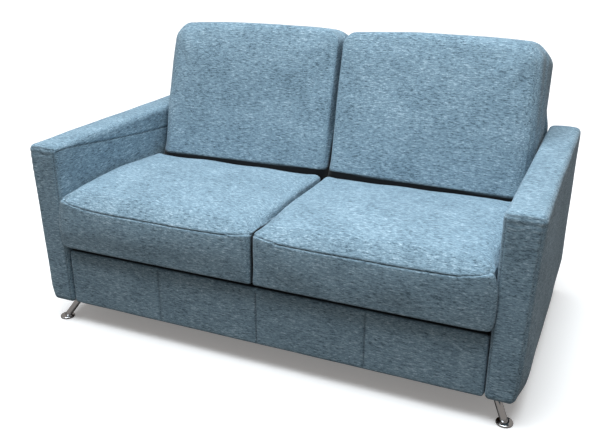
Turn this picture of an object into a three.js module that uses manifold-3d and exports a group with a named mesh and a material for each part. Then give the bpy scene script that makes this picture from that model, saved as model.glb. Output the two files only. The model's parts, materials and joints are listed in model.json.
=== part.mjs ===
// A two-seat sofa bed with a turning seat, in millimetres, +Z up, its front towards -Y.
// The origin is on the floor, under the middle of the whole sofa's box.
// The seat turns over forwards on its front hinge and the back folds down in line with it, while
// the head section rises on two pairs of cranks and comes forwards over the front panel.
import * as THREE from "three";
import { mergeVertices } from "three/addons/utils/BufferGeometryUtils.js";
import Module from "manifold-3d";

const wasm = await Module();
wasm.setup();

// ---- Driving dimensions ----
const overallWidth = 1640;
const bodyDepth = 960;
const armHeight = 640;
const armTopWidth = 110;
const armOuterLean = 18;
const floorClearance = 80;
const frontPanelTop = 278;
const frontPanelRecess = 9;
const frontPanelThickness = 32;
const rearPanelThickness = 42;
const rearPanelTop = 862;
const seatOverhang = 15;
const seatCushionDepth = 580;
const seatCushionHeight = 178;
const seatCrown = 20;
const backTilt = THREE.MathUtils.degToRad(10);
const backCushionFoot = 118;
const backCushionLumbar = 164;
const backCushionShoulder = 118;
const backCushionTop = 56;
const backCushionPeak = 36;
const backCushionShoulderDrop = 80;
const backCushionBelly = 8;
const backHoodSlope = 26;
const rearShoulderInset = 34;
const rearShoulderDrop = 62;
const backHoodDepth = 80;

// ---- Bed mechanism ----
const tubeSize = 25;
const crossTubeSize = 20;
const longestGap = 150;
const meshThickness = 2;
const mattressThickness = 62;
const foldGap = 6;
const headFrameBottom = 114;
const foldAxisSetback = 62.5;
const headSectionLength = 670;
const seatSectionLength = 646;
const backSectionLength = 590;
const crankLength = 160;
const crankRestAngle = THREE.MathUtils.degToRad(-24.5);
const crankWidth = 30;
const crankPinRadius = 8;
const crankSweep = THREE.MathUtils.degToRad(130.6);
const frontCrankSetback = 210;
const crankSpacing = 370;
const hingePlateThickness = 5;
const hingePinRadius = 6;
const hingeBossRadius = 14;
const hingeSetback = 14;
const sidePlateThickness = 6;
const sidePlateTop = 240;
const sidePlateRound = 30;
const crankThickness = 6;
const laneGap = 1;
const crankLaneGap = 2.5;
const pinLaneGap = 4.1;

// ---- Feet and bed legs ----
const footPlateOverlap = 13;
const footSetback = 31;
const footLean = 42;
const footDiscRadius = 25;
const footDiscHeight = 9;
const footDiscRim = 3;
const footTubeRadius = 11;
const footPlateSize = 64;
const footPlateThickness = 4;
const bedLegRadius = 11;
const bedLegWall = 1.5;
const bedLegHeightOnBack = 85;
const bedLegStandOff = 28;
const bedLegPivotX = 560;
const bedLegFloorGap = 2;
const bedLegPadRadius = 14;
const bedLegPadHeight = 14;

// ---- Walls and clearances ----
const padding = 20;
const rearPadding = 10;
const timber = 25;
const boardThickness = 18;
const touchGap = 0.3;
const sideGap = 7;
const cushionSideGap = 5;
const cushionSplitGap = 4;
const cushionRestGap = 0.8;
const pinGap = 0.3;
const rearPanelSideGap = 3;
const hoodWall = 15;
const hoodGap = 2;
const mattressSideInset = 2;
const beamWidth = 40;
const beamHeight = 24;
const beamWall = 2;
const baseBoardThickness = 3;
const boltRadius = 4;
const boltGap = 0.4;
const boltHeadRadius = 8;
const boltHeadHeight = 5;
const boltDrop = 70;
const armRound = 14;
const edgeRound = 12;
const cushionRound = 24;
const backCushionRound = 50;
const roundSteps = 18;
const arcSteps = 4;

// ---- Places that follow from them ----
const halfWidth = overallWidth / 2;
const armInner = halfWidth - armTopWidth;
const frontY = -(bodyDepth + seatOverhang) / 2 + seatOverhang;
const rearY = frontY + bodyDepth;
const middleY = (frontY + rearY) / 2;
const panelFrontY = frontY + frontPanelRecess;
const panelBackY = panelFrontY + frontPanelThickness;
const rearPanelFrontY = rearY - rearPanelThickness;

const sectionThickness = tubeSize + touchGap + meshThickness + touchGap + mattressThickness;
const foldAxisY = frontY + foldAxisSetback;
const foldAxisZ = headFrameBottom + sectionThickness + foldGap / 2;
const backAxisFromFold = foldGap / 2 + sectionThickness - tubeSize / 2;
const seatFrameTop = foldGap / 2 + sectionThickness;

const sidePlateOuter = armInner - touchGap;
const sidePlateInner = sidePlateOuter - sidePlateThickness;
const crankOuter = sidePlateInner - pinLaneGap - laneGap;
const crankInner = crankOuter - crankThickness;
const outerHingeOuter = crankInner - crankLaneGap;
const outerHingeInner = outerHingeOuter - hingePlateThickness;
const innerHingeOuter = outerHingeInner - laneGap;
const railOuter = innerHingeOuter - hingePlateThickness;
const railInner = railOuter - tubeSize;
const mattressHalfWidth = railOuter - mattressSideInset;
const weld = 2;

// ---- Helpers ----

// A manifold-3d solid from a three.js geometry.
function solid(geometry) {
  const plain = geometry.index ? geometry.toNonIndexed() : geometry.clone();
  const bare = new THREE.BufferGeometry();
  bare.setAttribute("position", plain.getAttribute("position"));
  const merged = mergeVertices(bare, 1e-3);
  return new wasm.Manifold(
    new wasm.Mesh({
      numProp: 3,
      vertProperties: merged.attributes.position.array,
      triVerts: new Uint32Array(merged.index.array),
    }),
  );
}

// A three.js geometry from a manifold-3d solid.
function geometryOf(made) {
  const mesh = made.getMesh();
  const geometry = new THREE.BufferGeometry();
  geometry.setAttribute("position", new THREE.BufferAttribute(new Float32Array(mesh.vertProperties), 3));
  geometry.setIndex(new THREE.BufferAttribute(new Uint32Array(mesh.triVerts), 1));
  const faceted = geometry.toNonIndexed();
  faceted.computeVertexNormals();
  return faceted;
}

function box(x0, x1, y0, y1, z0, z1) {
  const geometry = new THREE.BoxGeometry(x1 - x0, y1 - y0, z1 - z0);
  geometry.translate((x0 + x1) / 2, (y0 + y1) / 2, (z0 + z1) / 2);
  return solid(geometry);
}

function cylinderAlongX(radius, x0, x1, y, z) {
  const geometry = new THREE.CylinderGeometry(radius, radius, Math.abs(x1 - x0), roundSteps);
  geometry.rotateZ(-Math.PI / 2);
  geometry.translate((x0 + x1) / 2, y, z);
  return solid(geometry);
}

function cylinderAlongZ(radius, x, y, z0, z1) {
  const geometry = new THREE.CylinderGeometry(radius, radius, z1 - z0, roundSteps);
  geometry.rotateX(Math.PI / 2);
  geometry.translate(x, y, (z0 + z1) / 2);
  return solid(geometry);
}

// A closed outline through the corners, each rounded over the length in its third number.
function roundedOutline(corners) {
  const shape = new THREE.Shape();
  const points = corners.map(([u, v]) => new THREE.Vector2(u, v));
  points.forEach((corner, i) => {
    const before = points[(i + points.length - 1) % points.length];
    const after = points[(i + 1) % points.length];
    const cut = corners[i][2];
    const start = corner.clone().add(before.clone().sub(corner).setLength(cut));
    const end = corner.clone().add(after.clone().sub(corner).setLength(cut));
    if (i === 0) {
      shape.moveTo(start.x, start.y);
    } else {
      shape.lineTo(start.x, start.y);
    }
    if (cut > 0) {
      shape.quadraticCurveTo(corner.x, corner.y, end.x, end.y);
    }
  });
  shape.closePath();
  return shape;
}

function extruded(corners, length) {
  return new THREE.ExtrudeGeometry(roundedOutline(corners), {
    depth: length,
    bevelEnabled: false,
    curveSegments: arcSteps,
  });
}

// An outline in (y, z), extruded along x from x0 to x1.
function extrudedAlongX(corners, x0, x1) {
  const turn = new THREE.Matrix4().makeBasis(
    new THREE.Vector3(0, 1, 0),
    new THREE.Vector3(0, 0, 1),
    new THREE.Vector3(1, 0, 0),
  );
  return solid(extruded(corners, x1 - x0).applyMatrix4(turn).translate(x0, 0, 0));
}

// An outline in (x, z), extruded along y from y0 to y1.
function extrudedAlongY(corners, y0, y1) {
  const turn = new THREE.Matrix4().makeBasis(
    new THREE.Vector3(1, 0, 0),
    new THREE.Vector3(0, 0, 1),
    new THREE.Vector3(0, -1, 0),
  );
  return solid(extruded(corners, y1 - y0).applyMatrix4(turn).translate(0, y1, 0));
}

// A rectangle's corners, each rounded over the same length.
function roundedRectangle(u0, u1, v0, v1, round) {
  return [
    [u0, v0, round],
    [u1, v0, round],
    [u1, v1, round],
    [u0, v1, round],
  ];
}

// The solid with its upright corners rounded, as seen from above.
function roundedInPlan(made, round) {
  const { min, max } = made.boundingBox();
  const plan = extruded(roundedRectangle(min[0], max[0], min[1], max[1], round), max[2] - min[2] + 2);
  return made.intersect(solid(plan.translate(0, 0, min[2] - 1)));
}

// The solid with its corners rounded, as seen from the side.
function roundedFromSide(made, round) {
  const { min, max } = made.boundingBox();
  return made.intersect(
    extrudedAlongX(roundedRectangle(min[1], max[1], min[2], max[2], round), min[0] - 1, max[0] + 1),
  );
}

function mirrored(made) {
  return made.mirror([1, 0, 0]);
}

function onSide(side, made) {
  return side < 0 ? mirrored(made) : made;
}

function joined(pieces) {
  return pieces.reduce((whole, piece) => whole.add(piece));
}

const finishes = {
  upholstery: { color: 0x5f87a3, roughness: 0.95, metalness: 0 },
  timber: { color: 0xb98d5e, roughness: 0.8, metalness: 0 },
  board: { color: 0x6f5a43, roughness: 0.85, metalness: 0 },
  chrome: { color: 0xd9dde0, roughness: 0.12, metalness: 1 },
  coatedSteel: { color: 0x2b2d30, roughness: 0.5, metalness: 0.6 },
  zincSteel: { color: 0x9aa0a6, roughness: 0.4, metalness: 0.9 },
  ticking: { color: 0xe9e7e0, roughness: 0.95, metalness: 0 },
  rubber: { color: 0x1c1c1d, roughness: 0.8, metalness: 0 },
};

function addPiece(group, name, made, finish) {
  const mesh = new THREE.Mesh(geometryOf(made), new THREE.MeshStandardMaterial(finishes[finish]));
  mesh.name = name;
  group.add(mesh);
  return mesh;
}

const sides = [
  { name: "left", sign: -1 },
  { name: "right", sign: 1 },
];

// ---- Arms ----

// The arm's outline in (x, z), on the right side: its outer face leans in towards the floor.
function armOutline(inset) {
  const leanAt = (z) => (armOuterLean * (armHeight - z)) / (armHeight - floorClearance);
  const bottom = floorClearance;
  const top = armHeight - inset;
  const round = inset > 0 ? 0 : armRound;
  return [
    [armInner + inset, bottom, round / 2],
    [halfWidth - inset - leanAt(bottom), bottom, round / 2],
    [halfWidth - inset - leanAt(top), top, round],
    [armInner + inset, top, round],
  ];
}

function boltCut(y, z, x0, x1) {
  return cylinderAlongX(boltRadius + boltGap, x0, x1, y, z);
}

// Where the bolts that hold the front board and the rear frame run, in (y, z).
const boltPlaces = [
  [panelBackY - boardThickness / 2, frontPanelTop - boltDrop],
  [(rearPanelFrontY + rearY) / 2, frontPanelTop - boltDrop],
];
const boltHeadX = halfWidth - armOuterLean - padding - timber / 2;

function armBoltCuts() {
  const outerEnd = halfWidth - armOuterLean - padding;
  return joined(boltPlaces.map(([y, z]) => boltCut(y, z, armInner - timber, outerEnd)));
}

// Padding and fabric round the arm's frame, open at the bottom.
function armCover() {
  const block = extrudedAlongY(armOutline(0), frontY, rearY);
  const outer = roundedFromSide(roundedInPlan(block, edgeRound), edgeRound);
  const inner = armOutline(padding - touchGap);
  inner[0][1] -= padding;
  inner[1][1] -= padding;
  return outer
    .subtract(extrudedAlongY(inner, frontY + padding, rearY - rearPadding))
    .subtract(armBoltCuts());
}

// Four timber uprights between two rails, all in the space inside the cover.
function armFrame() {
  const y0 = frontY + padding + touchGap;
  const y1 = rearY - rearPadding - touchGap;
  const block = extrudedAlongY(armOutline(padding), y0, y1);
  const bays = 6;
  const pitch = (y1 - y0 - timber) / bays;
  const windows = [];
  for (let i = 0; i < bays; i += 1) {
    const from = y0 + timber + i * pitch;
    const to = from + pitch - timber;
    windows.push(box(armInner, halfWidth, from, to, floorClearance + 2 * timber, armHeight - 3 * timber));
  }
  const headPockets = boltPlaces.map(([y, z]) =>
    cylinderAlongX(boltHeadRadius + boltGap, boltHeadX - touchGap, halfWidth, y, z),
  );
  return block.subtract(joined(windows)).subtract(armBoltCuts()).subtract(joined(headPockets));
}

function armBolt([y, z], innerEnd) {
  return cylinderAlongX(boltRadius, innerEnd, boltHeadX + 1, y, z).add(
    cylinderAlongX(boltHeadRadius, boltHeadX, boltHeadX + boltHeadHeight, y, z),
  );
}

// ---- Front panel, rear panel and base ----

const panelHalfWidth = armInner - sideGap;

function frontBoardSolid(gap) {
  const rim = padding - gap;
  return box(
    -panelHalfWidth + rim,
    panelHalfWidth - rim,
    panelBackY - boardThickness - gap,
    panelBackY + gap,
    floorClearance + rim,
    frontPanelTop - rim,
  );
}

function frontPanelCover() {
  const outline = [
    [panelFrontY, floorClearance, edgeRound],
    [panelBackY, floorClearance, edgeRound / 2],
    [panelBackY, frontPanelTop, edgeRound / 2],
    [panelFrontY, frontPanelTop, edgeRound],
  ];
  const cuts = boltCut(...boltPlaces[0], -halfWidth, halfWidth);
  return roundedInPlan(extrudedAlongX(outline, -panelHalfWidth, panelHalfWidth), edgeRound / 2)
    .subtract(frontBoardSolid(touchGap))
    .subtract(cuts);
}

function frontBoard() {
  return frontBoardSolid(0).subtract(boltCut(...boltPlaces[0], -halfWidth, halfWidth));
}

const rearHalfWidth = armInner - rearPanelSideGap;

// The rear panel's outline in (x, z), narrower above the arms, with rounded shoulders.
function rearOutline(inset) {
  const bottom = floorClearance;
  const half = rearHalfWidth - inset;
  const top = rearPanelTop - inset;
  return [
    [-half, bottom, edgeRound / 3],
    [half, bottom, edgeRound / 3],
    [half, armHeight, rearShoulderDrop / 2],
    [half - rearShoulderInset, top - rearShoulderDrop, rearShoulderDrop / 2],
    [half - rearShoulderInset - rearShoulderDrop, top, rearShoulderDrop / 2],
    [-half + rearShoulderInset + rearShoulderDrop, top, rearShoulderDrop / 2],
    [-half + rearShoulderInset, top - rearShoulderDrop, rearShoulderDrop / 2],
    [-half, armHeight, rearShoulderDrop / 2],
  ];
}

const rearPocketWall = (rearPanelThickness - timber) / 2;

function rearPocket(gap) {
  const outline = rearOutline(padding - gap);
  outline[0][1] -= gap > 0 ? padding : 0;
  outline[1][1] -= gap > 0 ? padding : 0;
  return extrudedAlongY(outline, rearPanelFrontY + rearPocketWall - gap, rearY - rearPocketWall + gap);
}

function rearPanelCover() {
  const block = extrudedAlongY(rearOutline(0), rearPanelFrontY, rearY);
  return roundedInPlan(roundedFromSide(block, edgeRound), edgeRound)
    .subtract(rearPocket(touchGap))
    .subtract(boltCut(...boltPlaces[1], -halfWidth, halfWidth));
}

// A timber frame with upright laths, inside the rear cover.
function rearFrame() {
  const half = rearHalfWidth - padding - rearShoulderInset;
  const bays = 9;
  const pitch = (2 * half) / bays;
  const windowTop = rearPanelTop - rearShoulderDrop - timber;
  const windows = [];
  for (let i = 0; i < bays; i += 1) {
    const x0 = -half + i * pitch + timber;
    windows.push(box(x0, x0 + pitch - 2 * timber, rearPanelFrontY, rearY, frontPanelTop, windowTop));
  }
  return rearPocket(0)
    .subtract(joined(windows))
    .subtract(boltCut(...boltPlaces[1], -halfWidth, halfWidth));
}

const beamBottom = floorClearance + baseBoardThickness + touchGap;
const beamPlaces = [middleY - bodyDepth / 6, middleY + bodyDepth / 4];

function baseBeam(y) {
  const tube = box(-panelHalfWidth, panelHalfWidth, y - beamWidth / 2, y + beamWidth / 2, beamBottom,
    beamBottom + beamHeight);
  const hollow = box(-halfWidth, halfWidth, y - beamWidth / 2 + beamWall, y + beamWidth / 2 - beamWall,
    beamBottom + beamWall, beamBottom + beamHeight - beamWall);
  return tube.subtract(hollow);
}

function baseBoard() {
  return box(-panelHalfWidth, panelHalfWidth, panelBackY + touchGap, rearPanelFrontY - touchGap,
    floorClearance, floorClearance + baseBoardThickness);
}

// ---- Feet ----

// A slanted round tube under a square plate, leaning outwards and to the front or the rear.
function footTube(x, y, outX, outY) {
  const top = floorClearance - footPlateThickness;
  const line = new THREE.LineCurve3(
    new THREE.Vector3(x - outX * footLean, y - outY * footLean, top + footPlateThickness / 2),
    new THREE.Vector3(x, y, footDiscHeight / 2),
  );
  const ring = new THREE.Shape().absarc(0, 0, footTubeRadius, 0, 2 * Math.PI);
  const slanted = solid(
    new THREE.ExtrudeGeometry(ring, {
      extrudePath: line,
      steps: 1,
      curveSegments: roundSteps / 2,
      bevelEnabled: false,
    }),
  );
  const halfHeight = (floorClearance - footDiscHeight) / 2 - touchGap;
  const middle = (floorClearance + footDiscHeight) / 2;
  const [lowest, highest] = [middle - halfHeight, middle + halfHeight];
  const between = box(-halfWidth, halfWidth, 2 * frontY, 2 * rearY, lowest, highest);
  return slanted.intersect(between).add(footPlate(x - outX * footLean, y - outY * footLean));
}

function footPlate(x, y) {
  const half = footPlateSize / 2;
  const top = floorClearance - touchGap;
  return box(x - half, x + half, y - half, y + half, top - footPlateThickness, top);
}

function footDisc(x, y) {
  const profile = [
    [0, 0],
    [footDiscRadius - footDiscRim, 0],
    [footDiscRadius, footDiscRim],
    [footDiscRadius, footDiscHeight - footDiscRim],
    [footDiscRadius - footDiscRim, footDiscHeight],
    [0, footDiscHeight],
  ].map(([u, v]) => new THREE.Vector2(u, v));
  const geometry = new THREE.LatheGeometry(profile, roundSteps).rotateX(Math.PI / 2);
  return solid(geometry.translate(x, y, 0));
}

// ---- Mechanism ----

const crankRise = crankLength * Math.sin(crankRestAngle);
const crankReach = crankLength * Math.cos(crankRestAngle);
const headRailZ = headFrameBottom + tubeSize / 2;
const crankBaseZ = headRailZ - crankRise;
const crankHeads = [
  { name: "front", y: foldAxisY + frontCrankSetback },
  { name: "rear", y: foldAxisY + frontCrankSetback + crankSpacing },
];

// The plate bolted to the arm, with the two pins that the cranks turn on, on the right side.
function sidePlate() {
  const outline = [
    [panelBackY + sideGap, beamBottom, sidePlateRound / 3],
    [rearPanelFrontY - sideGap, beamBottom, sidePlateRound / 3],
    [rearPanelFrontY - sideGap, sidePlateTop, sidePlateRound],
    [panelBackY + sideGap, sidePlateTop, sidePlateRound],
  ];
  const plate = extrudedAlongX(outline, sidePlateInner, sidePlateOuter);
  const pins = crankHeads.map(({ y }) =>
    cylinderAlongX(crankPinRadius, crankInner - laneGap, sidePlateOuter - weld, y - crankReach, crankBaseZ),
  );
  const slotHalf = beamWidth / 2 + touchGap;
  const slotTop = beamBottom + beamHeight + touchGap;
  const beamSlots = beamPlaces.map((y) => box(0, halfWidth, y - slotHalf, y + slotHalf, 0, slotTop));
  return plate.subtract(joined(beamSlots)).add(joined(pins));
}

// A flat bar with round ends and two bores, from its base pin to its head pin, on the right side.
function crank(headY) {
  const middle = new THREE.Vector2(headY - crankReach / 2, headRailZ - crankRise / 2);
  const bar = new THREE.BoxGeometry(crankThickness, crankLength, crankWidth);
  bar.rotateX(crankRestAngle);
  bar.translate((crankInner + crankOuter) / 2, middle.x, middle.y);
  const ends = [
    [headY, headRailZ],
    [headY - crankReach, crankBaseZ],
  ];
  const rounds = ends.map(([y, z]) => cylinderAlongX(crankWidth / 2, crankInner, crankOuter, y, z));
  const bores = ends.map(([y, z]) => cylinderAlongX(crankPinRadius + pinGap, 0, halfWidth, y, z));
  return solid(bar).add(joined(rounds)).subtract(joined(bores));
}

// A frame of square tube in (x, y), with cross tubes no further apart than the longest gap.
function tubeFrame(y0, y1, z, crossTubes) {
  const half = tubeSize / 2;
  const pieces = [
    box(railInner, railOuter, y0, y1, z - half, z + half),
    box(-railOuter, -railInner, y0, y1, z - half, z + half),
  ];
  const crossHalf = crossTubeSize / 2;
  const crossEnd = railInner + weld;
  crossTubes.forEach((y) => {
    pieces.push(box(-crossEnd, crossEnd, y - crossHalf, y + crossHalf, z - crossHalf, z + crossHalf));
  });
  return joined(pieces);
}

// Cross tubes from one end of a frame to the other, evenly spaced.
function crossTubePlaces(y0, y1) {
  const first = y0 + crossTubeSize / 2;
  const last = y1 - crossTubeSize / 2;
  const bays = Math.ceil((last - first) / longestGap);
  return Array.from({ length: bays + 1 }, (_, i) => first + ((last - first) * i) / bays);
}

// A flat link with a round end on a hinge pin at the group's origin, welded to its frame at (y, z).
function hingeLink(x0, x1, y, z) {
  const length = Math.hypot(y, z);
  const bar = new THREE.BoxGeometry(x1 - x0, length, 2 * hingeBossRadius);
  bar.rotateX(Math.atan2(z, y));
  bar.translate((x0 + x1) / 2, y / 2, z / 2);
  return solid(bar)
    .add(cylinderAlongX(hingeBossRadius, x0, x1, 0, 0))
    .subtract(cylinderAlongX(hingePinRadius + pinGap, 0, halfWidth, 0, 0));
}

function hingePin() {
  const innerEnd = mattressHalfWidth + touchGap;
  return cylinderAlongX(hingePinRadius, innerEnd, outerHingeOuter + laneGap, 0, 0);
}

function bothSides(make) {
  return make().add(mirrored(make()));
}

// Head section, from the front fold to the rear, in the fold axis's own frame.
function headFrame() {
  const z = headRailZ - foldAxisZ;
  const y0 = hingeSetback;
  const y1 = headSectionLength;
  const link = () => {
    const foot = hingeSetback + 2 * hingeBossRadius;
    const spacer = box(railOuter - weld, outerHingeOuter, foot - hingeBossRadius, foot + hingeBossRadius,
      z - tubeSize / 2, z + tubeSize / 2);
    return hingeLink(outerHingeInner, outerHingeOuter, foot, z).add(spacer);
  };
  const pin = ({ y }) =>
    cylinderAlongX(crankPinRadius, railOuter - weld, crankOuter + laneGap, y - foldAxisY, z);
  const pins = () => joined(crankHeads.map(pin));
  return tubeFrame(y0, y1, z, crossTubePlaces(y0, y1)).add(bothSides(link)).add(bothSides(pins));
}

// Seat section, from the fold axis to the back's axis, above the fold.
function seatFrame() {
  const z = backAxisFromFold;
  const y0 = hingeSetback;
  const y1 = seatSectionLength - hingeSetback;
  const front = () => {
    const foot = hingeSetback + hingeBossRadius;
    const spacer = box(railOuter - weld, innerHingeOuter, foot - hingeBossRadius, foot + hingeBossRadius,
      z - tubeSize / 2, z + tubeSize / 2);
    return hingeLink(railOuter + touchGap, innerHingeOuter, foot, z).add(spacer);
  };
  const rear = () => {
    const foot = 4 * hingeBossRadius;
    const spacer = box(railOuter - weld, innerHingeOuter, -foot - hingeBossRadius, -foot + hingeBossRadius,
      -tubeSize / 2, tubeSize / 2);
    return hingeLink(railOuter + touchGap, innerHingeOuter, -foot, 0)
      .add(spacer)
      .translate(0, seatSectionLength, z);
  };
  return tubeFrame(y0, y1, z, crossTubePlaces(y0, y1)).add(bothSides(front)).add(bothSides(rear));
}

// Back section in its own tilted frame: z runs up it, y towards the mattress.
function backFrame() {
  const standing = new THREE.Matrix4().makeRotationX(Math.PI / 2);
  const z0 = hingeSetback;
  const z1 = backSectionLength;
  const legTube = bedLegHeightOnBack;
  const upper = crossTubePlaces(legTube + crossTubeSize / 2, z1).slice(1);
  const flat = tubeFrame(z0, z1, 0, [z0 + crossTubeSize / 2, legTube, ...upper]);
  const frame = flat.transform(standing.elements);
  const link = () => {
    const foot = 4 * hingeBossRadius;
    const spacer = box(railOuter - weld, outerHingeOuter, -tubeSize / 2, tubeSize / 2,
      foot - hingeBossRadius, foot + hingeBossRadius);
    return hingeLink(outerHingeInner, outerHingeOuter, 0, foot).add(spacer);
  };
  return frame.add(bothSides(link)).add(bothSides(bedLegBracket));
}

const bracketEar = 4;

// Two ears and a pin on a cross tube of the back frame, on the right side.
function bedLegBracket() {
  const out = bedLegRadius + laneGap;
  const ears = [1, -1].map((way) => {
    const near = bedLegHeightOnBack + way * out;
    const far = near + way * bracketEar;
    return box(bedLegPivotX - bedLegRadius, bedLegPivotX + bedLegRadius, -bedLegStandOff - bedLegRadius,
      crossTubeSize / 2, Math.min(near, far), Math.max(near, far));
  });
  const pinHalf = out + bracketEar / 2;
  const pin = cylinderAlongZ(boltRadius, bedLegPivotX, -bedLegStandOff, bedLegHeightOnBack - pinHalf,
    bedLegHeightOnBack + pinHalf);
  const foot = box(bedLegPivotX - bedLegRadius, bedLegPivotX + bedLegRadius, -crossTubeSize / 2,
    crossTubeSize / 2, bedLegHeightOnBack - out - bracketEar, bedLegHeightOnBack + out + bracketEar);
  return joined(ears).add(pin).add(foot);
}

// How high the bed leg's pivot ends above the floor when the bed is open.
const crankLift = crankLength * (Math.sin(crankRestAngle + crankSweep) - Math.sin(crankRestAngle));
const openPivotHeight = foldAxisZ + crankLift - backAxisFromFold - bedLegStandOff;
const bedLegLength = openPivotHeight - bedLegFloorGap;

// A round tube with its pivot bore near one end, lying along x towards the middle.
function bedLeg() {
  const end = bedLegPivotX - bedLegLength + bedLegPadHeight / 2;
  const plug = 2 * bedLegRadius;
  return cylinderAlongX(bedLegRadius, end, bedLegPivotX, 0, 0)
    .add(cylinderAlongZ(bedLegRadius, bedLegPivotX, 0, -bedLegRadius, bedLegRadius))
    .subtract(cylinderAlongX(bedLegRadius - bedLegWall, end - 1, bedLegPivotX - plug, 0, 0))
    .subtract(cylinderAlongZ(boltRadius + pinGap, bedLegPivotX, 0, -2 * bedLegRadius, 2 * bedLegRadius));
}

function bedLegPad() {
  const low = bedLegPivotX - bedLegLength;
  const mouth = low + bedLegPadHeight / 2;
  return cylinderAlongX(bedLegPadRadius, low, low + bedLegPadHeight, 0, 0).subtract(
    cylinderAlongX(bedLegRadius + touchGap, mouth - touchGap, low + 2 * bedLegPadHeight, 0, 0),
  );
}

// ---- Mattress and mesh ----

function sectionSheet(y0, y1, z0, z1) {
  return box(-mattressHalfWidth, mattressHalfWidth, y0, y1, z0, z1);
}

function mattressSection(length) {
  const outline = [
    [foldGap / 3, 0, edgeRound],
    [length, 0, edgeRound],
    [length, mattressThickness, edgeRound],
    [foldGap / 3, mattressThickness, edgeRound],
  ];
  return roundedInPlan(extrudedAlongX(outline, -mattressHalfWidth, mattressHalfWidth), edgeRound);
}

// ---- Cushions ----

const cushionOuter = armInner - cushionSideGap;
const cushionInner = cushionSplitGap / 2;

function seatCushion() {
  const y0 = -foldAxisSetback - seatOverhang;
  const y1 = y0 + seatCushionDepth;
  const z0 = seatFrameTop + cushionRestGap;
  const z1 = z0 + seatCushionHeight;
  const outline = [
    [y0, z0, cushionRound / 2],
    [y1, z0, cushionRound],
    [y1, z1, cushionRound],
    [(y0 + y1) / 2, z1 + seatCrown, seatCushionDepth / 3],
    [y0, z1, cushionRound],
  ];
  const face = roundedRectangle(cushionInner, cushionOuter, z0, z1 + seatCrown, cushionRound);
  return roundedInPlan(extrudedAlongX(outline, cushionInner, cushionOuter), cushionRound)
    .intersect(extrudedAlongY(face, y0, y1));
}

// A wedge-shaped back cushion with a hood that wraps over the back frame and its mattress.
function backCushion() {
  const hoodTop = backSectionLength + backCushionTop;
  const belly = (backCushionLumbar + backCushionShoulder) / 2 + backCushionBelly;
  const outline = [
    [-backCushionLumbar, backCushionFoot, backCushionRound * 0.7],
    [backHoodDepth, backCushionFoot, hoodWall / 2],
    [backHoodDepth, hoodTop - backHoodSlope, backCushionRound * 1.2],
    [-backCushionShoulder * 0.7, hoodTop + backCushionPeak, backCushionRound * 0.9],
    [-backCushionShoulder, hoodTop - backCushionShoulderDrop, backCushionRound],
    [-belly, backSectionLength / 2, backCushionRound * 2.4],
  ];
  const pocket = box(-halfWidth, cushionOuter - hoodWall, -tubeSize / 2 - touchGap, 2 * backHoodDepth,
    -backCushionFoot, backSectionLength + hoodGap);
  const face = [
    [cushionInner, backCushionFoot, cushionRound],
    [cushionOuter, backCushionFoot, cushionRound],
    [cushionOuter, hoodTop + backCushionPeak, 3 * cushionRound],
    [cushionInner, hoodTop + backCushionPeak, 2 * cushionRound],
  ];
  const front = extrudedAlongY(face, -2 * backCushionLumbar, 2 * backHoodDepth);
  const plan = [
    [cushionInner, -backCushionLumbar, cushionRound],
    [cushionOuter, -backCushionLumbar, cushionRound],
    [cushionOuter, backHoodDepth, hoodWall / 3],
    [cushionInner, backHoodDepth, hoodWall / 3],
  ];
  return extrudedAlongX(outline, cushionInner, cushionOuter)
    .intersect(solid(extruded(plan, 2 * hoodTop)))
    .intersect(front)
    .subtract(pocket);
}

// ---- Assembly ----

const sofaBed = new THREE.Group();

function addArms(group) {
  sides.forEach(({ name, sign }) => {
    addPiece(group, `${name}_arm_cover`, onSide(sign, armCover()), "upholstery");
    addPiece(group, `${name}_arm_frame`, onSide(sign, armFrame()), "timber");
    const ends = [panelHalfWidth - padding - timber, rearHalfWidth - padding - timber];
    ["front", "rear"].forEach((place, i) => {
      addPiece(group, `${place}_bolt_${name}`, onSide(sign, armBolt(boltPlaces[i], ends[i])), "zincSteel");
    });
  });
}

function addBase(group) {
  addPiece(group, "front_panel_cover", frontPanelCover(), "upholstery");
  addPiece(group, "front_panel_board", frontBoard(), "board");
  addPiece(group, "rear_panel_cover", rearPanelCover(), "upholstery");
  addPiece(group, "rear_panel_frame", rearFrame(), "timber");
  addPiece(group, "base_board", baseBoard(), "board");
  addPiece(group, "front_beam", baseBeam(beamPlaces[0]), "coatedSteel");
  addPiece(group, "rear_beam", baseBeam(beamPlaces[1]), "coatedSteel");
  sides.forEach(({ name, sign }) => {
    addPiece(group, `side_plate_${name}`, onSide(sign, sidePlate()), "coatedSteel");
  });
}

function addFeet(group) {
  const rows = [
    { place: "front", y: frontY + footSetback, outY: -1 },
    { place: "rear", y: rearY - footSetback, outY: 1 },
  ];
  const outX = armInner - footPlateOverlap + footPlateSize / 2 + footLean;
  sides.forEach(({ name, sign }) => {
    rows.forEach(({ place, y, outY }) => {
      const x = sign * outX;
      addPiece(group, `${place}_foot_tube_${name}`, footTube(x, y, sign, outY), "chrome");
      addPiece(group, `${place}_foot_disc_${name}`, footDisc(x, y), "chrome");
    });
  });
}

function addCranks(group) {
  crankHeads.forEach(({ name: place, y }) => {
    sides.forEach(({ name, sign }) => {
      addPiece(group, `${place}_crank_${name}`, onSide(sign, crank(y)), "zincSteel");
    });
  });
}

function addHeadSection(group) {
  const section = new THREE.Group();
  section.position.set(0, foldAxisY, foldAxisZ);
  const meshBottom = headRailZ - foldAxisZ + tubeSize / 2 + touchGap;
  addPiece(section, "head_frame", headFrame(), "coatedSteel");
  const sheet = sectionSheet(hingeSetback, headSectionLength, meshBottom, meshBottom + meshThickness);
  addPiece(section, "head_mesh", sheet, "zincSteel");
  const mattress = addPiece(section, "head_mattress", mattressSection(headSectionLength), "ticking");
  mattress.position.z = meshBottom + meshThickness + touchGap;
  addHingePins(section, "front");
  group.add(section);
}

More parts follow.
